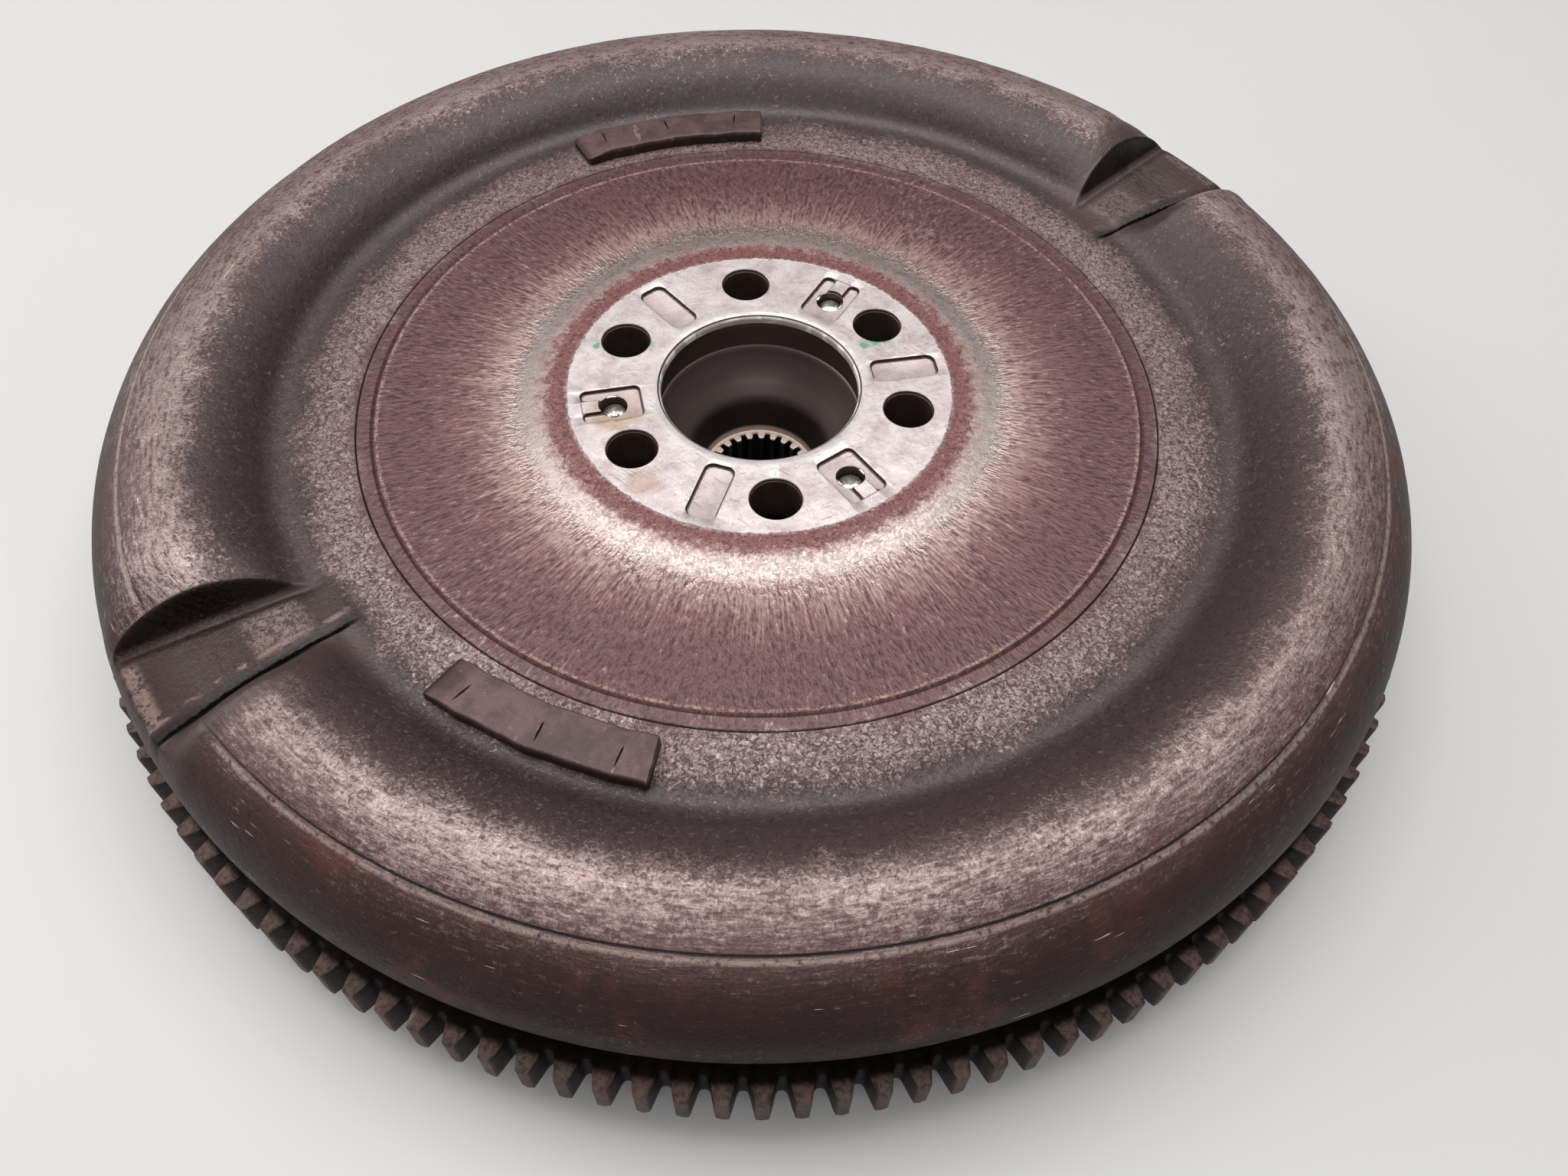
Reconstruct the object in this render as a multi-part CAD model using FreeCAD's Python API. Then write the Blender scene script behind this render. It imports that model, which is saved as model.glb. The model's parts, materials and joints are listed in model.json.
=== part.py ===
import FreeCAD, Part
import math
import os

from FreeCAD import Vector

os.makedirs("parts", exist_ok=True)

# Dual-mass flywheel with a splined output hub, for a car engine and a dual-clutch gearbox.
# +Z points at the engine. The origin is the centre of the crank face, the machined face
# that bolts to the crankshaft, on the axis of rotation. Millimetres and degrees.
# "Primary" pieces turn with the crankshaft, "output" pieces with the gearbox input shaft.

UP = Vector(0, 0, 1)
CENTRE = Vector(0, 0, 0)

# Starter ring gear.
TOOTH_COUNT = 132
GEAR_MODULE = 25.4 / 12
GEAR_TIP_R = (TOOTH_COUNT / 2 + 1) * GEAR_MODULE
GEAR_ROOT_R = GEAR_TIP_R - 2.25 * GEAR_MODULE
TOOTH_TIP_WIDTH = 2.3
TOOTH_ROOT_WIDTH = 4.6
GEAR_TOP_Z = -23.5
GEAR_WIDTH = 9.0

# Spring channel: a round section swept round the axis.
CHANNEL_R = 119.0
CHANNEL_Z = -10.4
CHANNEL_BORE = 15.9
CREST_SKIN = 19.4
SHOULDER_SKIN = 18.9
SEAM_R = 127.6
RIM_JOINT_Z = -20.0

# Primary shell, the pressed sheet on the engine side.
DISC_Z = -1.0
DISC_UNDER_Z = -5.0
HUB_UNDER_Z = -4.5
HUB_FLAT_R = 46.0
HUB_BEND_R = 53.0
FOOT_FILLET = 6.0
GROOVES = (81.5, 84.8)
GROOVE_DEPTH = 0.35
GROOVE_HALF_WIDTH = 0.35

# Pilot bore for the end of the crankshaft.
PILOT_R = 21.25
PILOT_CHAMFER = 0.7
PILOT_DEPTH = 2.05
RELIEF_R = 22.2

# Crank bolts: six on one circle, the last one turned so that it fits only one way.
BOLT_CIRCLE_R = 32.3
BOLT_HOLE_R = 5.25
BOLT_ANGLES = (-30, 30, 90, 150, 210, 281.6)
ACCESS_HOLE_R = 9.6

# Coined pockets in the crank face.
COIN_DEPTH = 0.8
COIN_MID_R = 31.8
COIN_LENGTH = 14.4
COIN_WIDTH = 6.4
COIN_CORNER = 1.2
COIN_ANGLES = (-56.2, 64.6, 186.2)
PIN_POCKET_ANGLES = (-6.1, 125.6, 240)
PIN_POCKET_WIDTH = 9.2
PIN_POCKET_LENGTH = 12.8
PIN_TONGUE_WIDTH = 3.4
PIN_TONGUE_LENGTH = 4.6
PIN_CIRCLE_R = 31.6
PIN_R = 3.0
PIN_SUNK = 2.0

# Hub ring behind the crank face, and the plate under the crank bolt heads.
HUB_RING_UNDER_Z = -9.0
COLLAR_R = 42.0
COLLAR_UNDER_Z = -12.6
WASHER_PLATE_INNER_R = 24.8
WASHER_PLATE_OUTER_R = 39.6
WASHER_PLATE_UNDER_Z = -11.3

# Spring stops: two pockets pressed across the channel, and two lugs that face them.
STOP_ANGLES = (-30, 150)
STOP_FLOOR_Z = -0.5
STOP_TOP_Z = 12.0
STOP_R0 = 96.0
STOP_R1 = 143.0
STOP_HALF_R0 = 6.4
STOP_HALF_R1 = 12.3
STOP_SLOPE = math.tan(math.radians(20))
STOP_SKIN = 3.5
LUG_TOP_Z = RIM_JOINT_Z

# Primary cover, the forged ring on the gearbox side, which the flywheel lies on.
BASE_Z = -38.0
COVER_INNER_R = 84.0
COVER_TOP_Z = -17.5
COVER_UNDER_Z = -22.0
COVER_RING_INNER_R = 102.5
GEAR_SEAT_R = 131.2
BASE_CHAMFER = 1.0

# Balance weights welded at the foot of the channel.
WEIGHT_R0 = 88.6
WEIGHT_R1 = 98.0
WEIGHT_THICK = 3.0
WEIGHTS = ((38.5, 29.0), (180.0, 26.5))
SLIT_SHARES = (0.17, 0.5, 0.85)
SLIT_WIDTH = 0.9
SLIT_LENGTH = 4.2
SLIT_DEPTH = 0.9

# Output flange: a plate whose two ears reach into the channel between the springs.
FLANGE_TOP_Z = -8.0
FLANGE_UNDER_Z = -13.0
FLANGE_R = 99.0
EAR_R = 132.4
EAR_HALF_ANGLE = 5.2
BUSH_R = 48.0
BUSH_PLAY = 0.05
BUSH_LIP_R = 52.0
BUSH_LIP_UNDER_Z = -7.9

# Output hub: riveted plate, dished clear of the bolt heads, with a funnel and a splined sleeve.
MEMBRANE_THICK = 0.8
HUB_PLATE_TOP_Z = FLANGE_UNDER_Z - MEMBRANE_THICK
HUB_PLATE_THICK = 5.0
HUB_PLATE_R = 66.0
DISH_TOP_Z = -20.5
FUNNEL_RIM_R = 21.8
FUNNEL_RIM_Z = -9.3
FUNNEL_LOW_R = 15.3
FUNNEL_LOW_Z = -21.0
FUNNEL_WALL = 2.2
SPLINE_TOP_Z = -28.0
SPLINE_FACE_R = 12.9
SPLINE_COUNT = 25
SPLINE_TIP_R = 10.6
SPLINE_ROOT_R = 12.1
SLEEVE_R = 18.0
SLEEVE_UNDER_Z = -37.5

# Rivets that hold the flange, the membrane and the hub together.
RIVET_COUNT = 8
RIVET_CIRCLE_R = 58.5
RIVET_R = 4.0
RIVET_HEAD_R = 5.8
RIVET_HEAD_HEIGHT = 1.9

# Seals and friction pieces.
MEMBRANE_INNER_R = 50.0
MEMBRANE_BEND_R = 68.0
MEMBRANE_OUTER_R = 88.0
MEMBRANE_DROP = 1.6
SEAL_GAP = 0.15
FRICTION_R0 = 67.0
FRICTION_R1 = 77.0
FRICTION_THICK = 1.3
FRICTION_PLAY = 0.1

# Arc springs, one nested in the other on each side, with free play before the stops and ears.
SPRING_START = 9.3
OUTER_COIL_R = 12.2
OUTER_WIRE_R = 2.3
OUTER_COILS = 30
INNER_COIL_R = 7.2
INNER_WIRE_R = 1.6
INNER_COILS = 40
GUIDE_START = 8.3
GUIDE_THICK = 0.8
GUIDE_PLAY = 0.05
GUIDE_REACH = 55


def save(name, *solids):
    """Write one node, as one solid or a group of separate ones."""
    shape = solids[0] if len(solids) == 1 else Part.makeCompound(list(solids))
    shape.exportStep(f"parts/{name}.step")


def turned(shape, angle):
    """A copy of the shape turned about the axis of rotation."""
    copy = shape.copy()
    copy.rotate(CENTRE, UP, angle)
    return copy


def outline(start, *moves):
    """Closed face in the XZ half plane. A move is an end point, or (middle, end) of an arc."""
    first = Vector(start[0], 0, start[1])
    here = first
    edges = []
    for move in moves:
        if isinstance(move[0], tuple):
            middle, end = (Vector(r, 0, z) for r, z in move)
            edges.append(Part.Arc(here, middle, end).toShape())
        else:
            end = Vector(move[0], 0, move[1])
            edges.append(Part.makeLine(here, end))
        here = end
    if here.distanceToPoint(first) > 1e-6:
        edges.append(Part.makeLine(here, first))
    return Part.Face(Part.Wire(edges))


def revolved(face, sweep=360, start=0):
    """Solid that the face sweeps about the axis of rotation."""
    return turned(face.revolve(CENTRE, UP, sweep), start)


def washer(r_inner, r_outer, z_low, z_high):
    """Flat ring about the axis."""
    outer = Part.makeCylinder(r_outer, z_high - z_low, Vector(0, 0, z_low))
    return outer.cut(Part.makeCylinder(r_inner, z_high - z_low, Vector(0, 0, z_low)))


def posts(radius, circle_r, angles, z_low, z_high):
    """Upright cylinders on a circle, as one shape to drill with or to keep."""
    found = []
    for angle in angles:
        post = Part.makeCylinder(radius, z_high - z_low, Vector(circle_r, 0, z_low))
        found.append(turned(post, angle))
    return found


def drilled(solid, tools):
    """The solid with every tool cut out of it."""
    return solid.cut(Part.makeCompound(tools))


def channel_point(radius, angle):
    """Point of a circle round the channel's centre, 0 outwards and 90 towards the engine."""
    turn = math.radians(angle)
    return (CHANNEL_R + radius * math.cos(turn), CHANNEL_Z + radius * math.sin(turn))


def channel_arc(radius, start, end):
    """Arc move along a circle round the channel's centre."""
    return (channel_point(radius, (start + end) / 2), channel_point(radius, end))


def channel_angle(radius, z):
    """Angle at which the outer half of such a circle passes a height."""
    return math.degrees(math.asin((z - CHANNEL_Z) / radius))


def star(count, r_valley, r_crest, valley_width, crest_width):
    """Flat face with straight-flanked teeth all round."""
    valley_half = valley_width / 2 / r_valley
    crest_half = crest_width / 2 / r_crest
    pitch = 2 * math.pi / count
    points = []
    for index in range(count):
        middle = index * pitch
        corners = (
            (r_crest, middle - crest_half),
            (r_crest, middle + crest_half),
            (r_valley, middle + pitch / 2 - valley_half),
            (r_valley, middle + pitch / 2 + valley_half),
        )
        points += [Vector(r * math.cos(a), r * math.sin(a), 0) for r, a in corners]
    return Part.Face(Part.makePolygon(points + [points[0]]))


def rounded_bar(length, width, corner, height):
    """Bar along X with rounded upright edges, its middle at the origin and its foot at z = 0."""
    bar = Part.makeBox(length, width, height, Vector(-length / 2, -width / 2, 0))
    upright = [e for e in bar.Edges if abs(e.tangentAt(e.FirstParameter).z) > 0.9]
    return bar.makeFillet(corner, upright)


def stop_wedge(floor_z, top_z, widening):
    """Tapered block across the channel. Its sides lean out as they leave the floor."""
    rise = abs(top_z - floor_z) * STOP_SLOPE
    wires = []
    for r, half in ((STOP_R0, STOP_HALF_R0 + widening), (STOP_R1, STOP_HALF_R1 + widening)):
        corners = [
            Vector(r, -half, floor_z),
            Vector(r, half, floor_z),
            Vector(r, half + rise, top_z),
            Vector(r, -half - rise, top_z),
        ]
        wires.append(Part.makePolygon(corners + [corners[0]]))
    return Part.makeLoft(wires, True, True)


def channel_core():
    """Ring that fills the spring channel and bites a little into its walls."""
    bite = 0.6
    return Part.makeTorus(CHANNEL_R, CHANNEL_BORE + bite, Vector(0, 0, CHANNEL_Z))


# ---- primary side ----


def shell_outline():
    """Section of the pressed shell, from the pilot bore out to the joint with the cover."""
    fillet_z = DISC_Z + FOOT_FILLET
    reach = CREST_SKIN + FOOT_FILLET
    fillet_r = CHANNEL_R - math.sqrt(reach**2 - (fillet_z - CHANNEL_Z) ** 2)
    foot = math.degrees(math.atan2(fillet_z - CHANNEL_Z, fillet_r - CHANNEL_R))
    half_way = math.radians((270 + foot - 180 + 360) / 2)
    fillet_middle = (
        fillet_r + FOOT_FILLET * math.cos(half_way),
        fillet_z + FOOT_FILLET * math.sin(half_way),
    )
    seam_high = math.degrees(math.acos((SEAM_R - CHANNEL_R) / CREST_SKIN))
    seam_low = math.degrees(math.acos((SEAM_R - CHANNEL_R) / SHOULDER_SKIN))
    rim = channel_angle(SHOULDER_SKIN, RIM_JOINT_Z)
    inner_rim = channel_angle(CHANNEL_BORE, RIM_JOINT_Z)
    inner_foot = 180 - channel_angle(CHANNEL_BORE, DISC_UNDER_Z)

    bend = (HUB_BEND_R - HUB_FLAT_R) / 2
    drop = abs(DISC_Z) / 2
    bend_radius = (bend**2 + drop**2) / (2 * drop)
    dip = bend_radius - math.sqrt(bend_radius**2 - (bend / 2) ** 2)
    bend_middle = HUB_FLAT_R + bend

    groove_moves = []
    for r in GROOVES:
        groove_moves.append((r - GROOVE_HALF_WIDTH, DISC_Z))
        groove_moves.append((r, DISC_Z - GROOVE_DEPTH))
        groove_moves.append((r + GROOVE_HALF_WIDTH, DISC_Z))
    return outline(
        (RELIEF_R, HUB_UNDER_Z),
        (RELIEF_R, -PILOT_DEPTH),
        (PILOT_R, -PILOT_DEPTH),
        (PILOT_R, -PILOT_CHAMFER),
        (PILOT_R + PILOT_CHAMFER, 0),
        (HUB_FLAT_R, 0),
        ((HUB_FLAT_R + bend / 2, -dip), (bend_middle, -drop)),
        ((bend_middle + bend / 2, DISC_Z + dip), (HUB_BEND_R, DISC_Z)),
        *groove_moves,
        (fillet_r, DISC_Z),
        (fillet_middle, channel_point(CREST_SKIN, foot)),
        channel_arc(CREST_SKIN, foot, seam_high),
        channel_point(SHOULDER_SKIN, seam_low),
        channel_arc(SHOULDER_SKIN, seam_low, rim),
        channel_point(CHANNEL_BORE, inner_rim),
        channel_arc(CHANNEL_BORE, inner_rim, inner_foot),
        (HUB_BEND_R, DISC_UNDER_Z),
        (HUB_FLAT_R, HUB_UNDER_Z),
    )


def coined_pockets():
    """Shallow pockets struck into the crank face: three plain ones and three round the pins."""
    deep = 2 * COIN_DEPTH
    tools = []
    for angle in COIN_ANGLES:
        bar = rounded_bar(COIN_LENGTH, COIN_WIDTH, COIN_CORNER, deep)
        bar.translate(Vector(COIN_MID_R, 0, -COIN_DEPTH))
        tools.append(turned(bar, angle))
    for angle in PIN_POCKET_ANGLES:
        fork = rounded_bar(PIN_POCKET_LENGTH, PIN_POCKET_WIDTH, COIN_CORNER, deep)
        tongue = Part.makeBox(PIN_TONGUE_LENGTH, PIN_TONGUE_WIDTH, deep)
        tongue.translate(Vector(PIN_POCKET_LENGTH / 2 - PIN_TONGUE_LENGTH, -PIN_TONGUE_WIDTH / 2, 0))
        fork = fork.cut(tongue)
        fork.translate(Vector(COIN_MID_R, 0, -COIN_DEPTH))
        tools.append(turned(fork, angle))
    return tools


def make_primary_shell():
    shell = revolved(shell_outline())
    drop = STOP_SKIN * STOP_SLOPE
    skin = STOP_SKIN / math.cos(math.atan(STOP_SLOPE))
    for angle in STOP_ANGLES:
        pressing = stop_wedge(STOP_FLOOR_Z, STOP_TOP_Z, 0)
        lining = stop_wedge(STOP_FLOOR_Z - STOP_SKIN, STOP_TOP_Z, skin - drop)
        lining = lining.common(channel_core())
        shell = shell.fuse(turned(lining, angle)).cut(turned(pressing, angle))
    holes = posts(BOLT_HOLE_R, BOLT_CIRCLE_R, BOLT_ANGLES, DISC_UNDER_Z, 1)
    holes += posts(PIN_R, PIN_CIRCLE_R, PIN_POCKET_ANGLES, DISC_UNDER_Z, 1)
    save("primary_shell", drilled(shell, holes + coined_pockets()))


def make_hub_ring():
    """Backing ring with the collar that the bearing bush sits on."""
    face = outline(
        (RELIEF_R, HUB_UNDER_Z),
        (HUB_FLAT_R, HUB_UNDER_Z),
        (HUB_FLAT_R, COLLAR_UNDER_Z),
        (COLLAR_R, COLLAR_UNDER_Z),
        (COLLAR_R, HUB_RING_UNDER_Z),
        (RELIEF_R, HUB_RING_UNDER_Z),
    )
    holes = posts(BOLT_HOLE_R, BOLT_CIRCLE_R, BOLT_ANGLES, COLLAR_UNDER_Z, 0)
    holes += posts(PIN_R, PIN_CIRCLE_R, PIN_POCKET_ANGLES, COLLAR_UNDER_Z, 0)
    save("hub_ring", drilled(revolved(face), holes))


def make_bolt_washer_plate():
    plate = washer(WASHER_PLATE_INNER_R, WASHER_PLATE_OUTER_R, WASHER_PLATE_UNDER_Z, HUB_RING_UNDER_Z)
    holes = posts(BOLT_HOLE_R, BOLT_CIRCLE_R, BOLT_ANGLES, WASHER_PLATE_UNDER_Z, HUB_RING_UNDER_Z)
    holes += posts(PIN_R, PIN_CIRCLE_R, PIN_POCKET_ANGLES, WASHER_PLATE_UNDER_Z, HUB_RING_UNDER_Z)
    save("bolt_washer_plate", drilled(plate, holes))


def make_hub_pins():
    """Pins staked through the shell, the hub ring and the washer plate."""
    pins = posts(PIN_R, PIN_CIRCLE_R, PIN_POCKET_ANGLES, WASHER_PLATE_UNDER_Z, -PIN_SUNK)
    save("hub_pins", *pins)


def make_primary_cover():
    rim = channel_angle(SHOULDER_SKIN, RIM_JOINT_Z)
    shoulder = channel_angle(SHOULDER_SKIN, GEAR_TOP_Z)
    inner_rim = channel_angle(CHANNEL_BORE, RIM_JOINT_Z)
    inner_foot = -180 - channel_angle(CHANNEL_BORE, COVER_TOP_Z)
    face = outline(
        channel_point(CHANNEL_BORE, inner_rim),
        channel_point(SHOULDER_SKIN, rim),
        channel_arc(SHOULDER_SKIN, rim, shoulder),
        (GEAR_SEAT_R, GEAR_TOP_Z),
        (GEAR_SEAT_R, BASE_Z + BASE_CHAMFER),
        (GEAR_SEAT_R - BASE_CHAMFER, BASE_Z),
        (COVER_RING_INNER_R + BASE_CHAMFER, BASE_Z),
        (COVER_RING_INNER_R, BASE_Z + BASE_CHAMFER),
        (COVER_RING_INNER_R, COVER_UNDER_Z),
        (COVER_INNER_R, COVER_UNDER_Z),
        (COVER_INNER_R, COVER_TOP_Z),
        channel_point(CHANNEL_BORE, inner_foot),
        channel_arc(CHANNEL_BORE, inner_foot, inner_rim),
    )
    cover = revolved(face)
    lug_foot_z = CHANNEL_Z - CHANNEL_BORE - 2
    skin = STOP_SKIN / math.cos(math.atan(STOP_SLOPE)) - STOP_SKIN * STOP_SLOPE
    for angle in STOP_ANGLES:
        lug = stop_wedge(LUG_TOP_Z, lug_foot_z, skin).common(channel_core())
        cover = cover.fuse(turned(lug, angle))
    save("primary_cover", cover)


def make_starter_ring_gear():
    pitch_at_root = 2 * math.pi * GEAR_ROOT_R / TOOTH_COUNT
    teeth = star(TOOTH_COUNT, GEAR_ROOT_R, GEAR_TIP_R, pitch_at_root - TOOTH_ROOT_WIDTH, TOOTH_TIP_WIDTH)
    teeth.translate(Vector(0, 0, GEAR_TOP_Z - GEAR_WIDTH))
    blank = teeth.extrude(Vector(0, 0, GEAR_WIDTH))
    seat = Part.makeCylinder(GEAR_SEAT_R, GEAR_WIDTH, Vector(0, 0, GEAR_TOP_Z - GEAR_WIDTH))
    save("starter_ring_gear", blank.cut(seat))


def make_balance_weights():
    """Two curved steel strips, each with three short slits across its top."""
    face = outline(
        (WEIGHT_R0, DISC_Z),
        (WEIGHT_R1, DISC_Z),
        (WEIGHT_R1, DISC_Z + WEIGHT_THICK),
        (WEIGHT_R0, DISC_Z + WEIGHT_THICK),
    )
    middle_r = (WEIGHT_R0 + WEIGHT_R1) / 2
    slit_corner = Vector(middle_r - SLIT_LENGTH / 2, -SLIT_WIDTH / 2, DISC_Z + WEIGHT_THICK - SLIT_DEPTH)
    for number, (middle, span) in enumerate(WEIGHTS, 1):
        start = middle - span / 2
        strip = revolved(face, span, start)
        slits = []
        for share in SLIT_SHARES:
            slit = Part.makeBox(SLIT_LENGTH, SLIT_WIDTH, 2 * SLIT_DEPTH, slit_corner)
            slits.append(turned(slit, start + share * span))
        save(f"balance_weight_{number}", drilled(strip, slits))


def make_bearing_bush():
    """Bush with a lip: it centres the output flange and takes its end thrust."""
    lip_top_z = DISC_UNDER_Z - 0.05
    face = outline(
        (HUB_FLAT_R, COLLAR_UNDER_Z),
        (BUSH_R, COLLAR_UNDER_Z),
        (BUSH_R, BUSH_LIP_UNDER_Z),
        (BUSH_LIP_R, BUSH_LIP_UNDER_Z),
        (BUSH_LIP_R, lip_top_z),
        (HUB_FLAT_R, lip_top_z),
    )
    save("bearing_bush", revolved(face))


def make_spring_guides():
    """Thin steel liners between the springs and the outer wall of the channel."""
    outer = CHANNEL_BORE - GUIDE_PLAY
    inner = outer - GUIDE_THICK
    face = outline(
        channel_point(outer, -GUIDE_REACH),
        channel_arc(outer, -GUIDE_REACH, GUIDE_REACH),
        channel_point(inner, GUIDE_REACH),
        channel_arc(inner, GUIDE_REACH, -GUIDE_REACH),
    )
    for number, stop in enumerate(STOP_ANGLES, 1):
        save(f"spring_guide_{number}", revolved(face, 180 - 2 * GUIDE_START, stop + GUIDE_START))


def coils(stop, coil_r, wire_r, count):
    """Coils of one arc spring, spread evenly along it and drawn as closed rings."""
    rings = []
    step = (180 - 2 * SPRING_START) / count
    for index in range(count):
        coil = Part.makeTorus(coil_r, wire_r, Vector(CHANNEL_R, 0, CHANNEL_Z), Vector(0, 1, 0))
        rings.append(turned(coil, stop + SPRING_START + (index + 0.5) * step))
    return rings


def make_arc_springs():
    for number, stop in enumerate(STOP_ANGLES, 1):
        save(f"arc_spring_outer_{number}", *coils(stop, OUTER_COIL_R, OUTER_WIRE_R, OUTER_COILS))
        save(f"arc_spring_inner_{number}", *coils(stop, INNER_COIL_R, INNER_WIRE_R, INNER_COILS))


# ---- output side ----


def rivet_angles():
    return [index * 360 / RIVET_COUNT for index in range(RIVET_COUNT)]


def make_output_flange():
    bore_r = BUSH_R + BUSH_PLAY
    plate = washer(bore_r, FLANGE_R, FLANGE_UNDER_Z, FLANGE_TOP_Z)
    ear_face = outline(
        (FLANGE_R - 3, FLANGE_UNDER_Z),
        (EAR_R, FLANGE_UNDER_Z),
        (EAR_R, FLANGE_TOP_Z),
        (FLANGE_R - 3, FLANGE_TOP_Z),
    )
    for angle in STOP_ANGLES:
        plate = plate.fuse(revolved(ear_face, 2 * EAR_HALF_ANGLE, angle - EAR_HALF_ANGLE))
    plate = plate.removeSplitter()
    holes = posts(RIVET_R, RIVET_CIRCLE_R, rivet_angles(), FLANGE_UNDER_Z, FLANGE_TOP_Z)
    save("output_flange", drilled(plate, holes))


def make_seal_membrane():
    """Thin sprung disc, clamped under the flange, that rubs on the seal ring of the cover."""
    top = FLANGE_UNDER_Z
    under = FLANGE_UNDER_Z - MEMBRANE_THICK
    face = outline(
        (MEMBRANE_INNER_R, top),
        (MEMBRANE_BEND_R, top),
        (MEMBRANE_OUTER_R, top - MEMBRANE_DROP),
        (MEMBRANE_OUTER_R, under - MEMBRANE_DROP),
        (MEMBRANE_BEND_R, under),
        (MEMBRANE_INNER_R, under),
    )
    holes = posts(RIVET_R, RIVET_CIRCLE_R, rivet_angles(), under, top)
    save("seal_membrane", drilled(revolved(face), holes))


def make_cover_seal_ring():
    low_point = FLANGE_UNDER_Z - MEMBRANE_THICK - MEMBRANE_DROP
    save("cover_seal_ring", washer(COVER_INNER_R, MEMBRANE_OUTER_R, COVER_TOP_Z, low_point - SEAL_GAP))


def make_output_hub():
    """Riveted plate, dished funnel and splined sleeve, in one piece."""
    plate_under = HUB_PLATE_TOP_Z - HUB_PLATE_THICK
    dish_under = DISH_TOP_Z - HUB_PLATE_THICK
    rim_top = (FUNNEL_RIM_R + FUNNEL_WALL / 2, FUNNEL_RIM_Z)
    face = outline(
        (FUNNEL_RIM_R, FUNNEL_RIM_Z - FUNNEL_WALL / 2),
        ((FUNNEL_RIM_R + 0.3, FUNNEL_RIM_Z - 0.3), rim_top),
        (FUNNEL_RIM_R + FUNNEL_WALL, FUNNEL_RIM_Z - FUNNEL_WALL / 2),
        ((FUNNEL_RIM_R - 0.6 + FUNNEL_WALL, FUNNEL_RIM_Z - 7), (SLEEVE_R + 0.6, DISH_TOP_Z)),
        (45, DISH_TOP_Z),
        (51, HUB_PLATE_TOP_Z),
        (HUB_PLATE_R, HUB_PLATE_TOP_Z),
        (HUB_PLATE_R, plate_under),
        (52, plate_under),
        (46, dish_under),
        (SLEEVE_R, dish_under),
        (SLEEVE_R, SLEEVE_UNDER_Z),
        (SPLINE_TIP_R, SLEEVE_UNDER_Z),
        (SPLINE_TIP_R, SPLINE_TOP_Z),
        (SPLINE_FACE_R, SPLINE_TOP_Z),
        ((FUNNEL_LOW_R - 1.0, (SPLINE_TOP_Z + FUNNEL_LOW_Z) / 2), (FUNNEL_LOW_R, FUNNEL_LOW_Z)),
        ((FUNNEL_RIM_R - 2.0, FUNNEL_RIM_Z - 6), (FUNNEL_RIM_R, FUNNEL_RIM_Z - FUNNEL_WALL / 2)),
    )
    hub = revolved(face)
    pitch_at_root = 2 * math.pi * SPLINE_ROOT_R / SPLINE_COUNT
    slots = star(SPLINE_COUNT, SPLINE_TIP_R - 0.1, SPLINE_ROOT_R, 0.35 * pitch_at_root, 0.4 * pitch_at_root)
    slots.translate(Vector(0, 0, SLEEVE_UNDER_Z))
    spline_cut = slots.extrude(Vector(0, 0, SPLINE_TOP_Z - SLEEVE_UNDER_Z))
    holes = posts(ACCESS_HOLE_R, BOLT_CIRCLE_R, BOLT_ANGLES, dish_under, HUB_PLATE_TOP_Z + 1)
    holes += posts(RIVET_R, RIVET_CIRCLE_R, rivet_angles(), plate_under, HUB_PLATE_TOP_Z)
    save("output_hub", drilled(hub, holes + [spline_cut]))


def make_flange_rivets():
    foot_z = HUB_PLATE_TOP_Z - HUB_PLATE_THICK
    shanks = posts(RIVET_R, RIVET_CIRCLE_R, rivet_angles(), foot_z, FLANGE_TOP_Z)
    rivets = []
    for shank, angle in zip(shanks, rivet_angles()):
        heads = []
        for z, direction in ((FLANGE_TOP_Z, UP), (foot_z, -UP)):
            head = Part.makeCone(
                RIVET_HEAD_R, RIVET_R, RIVET_HEAD_HEIGHT, Vector(RIVET_CIRCLE_R, 0, z), direction
            )
            heads.append(turned(head, angle))
        rivets.append(shank.fuse(heads).removeSplitter())
    save("flange_rivets", *rivets)


def make_friction_pieces():
    """Friction ring on the output flange, and the disc spring that loads it."""
    low = FLANGE_TOP_Z
    high = low + FRICTION_THICK
    save("friction_ring", washer(FRICTION_R0, FRICTION_R1, low, high))
    spring_low = high + FRICTION_PLAY
    face = outline(
        (FRICTION_R0, spring_low),
        (FRICTION_R0, spring_low + 1.0),
        (FRICTION_R1, DISC_UNDER_Z),
        (FRICTION_R1, DISC_UNDER_Z - 1.0),
    )
    save("disc_spring", revolved(face))


make_primary_shell()
make_hub_ring()
make_bolt_washer_plate()
make_hub_pins()
make_primary_cover()
make_starter_ring_gear()
make_balance_weights()
make_bearing_bush()
make_spring_guides()
make_arc_springs()
make_output_flange()
make_seal_membrane()
make_cover_seal_ring()
make_output_hub()
make_flange_rivets()
make_friction_pieces()
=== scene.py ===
import json
import math

import bmesh
import bpy
import numpy as np
from mathutils import Matrix, Vector, noise

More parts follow.
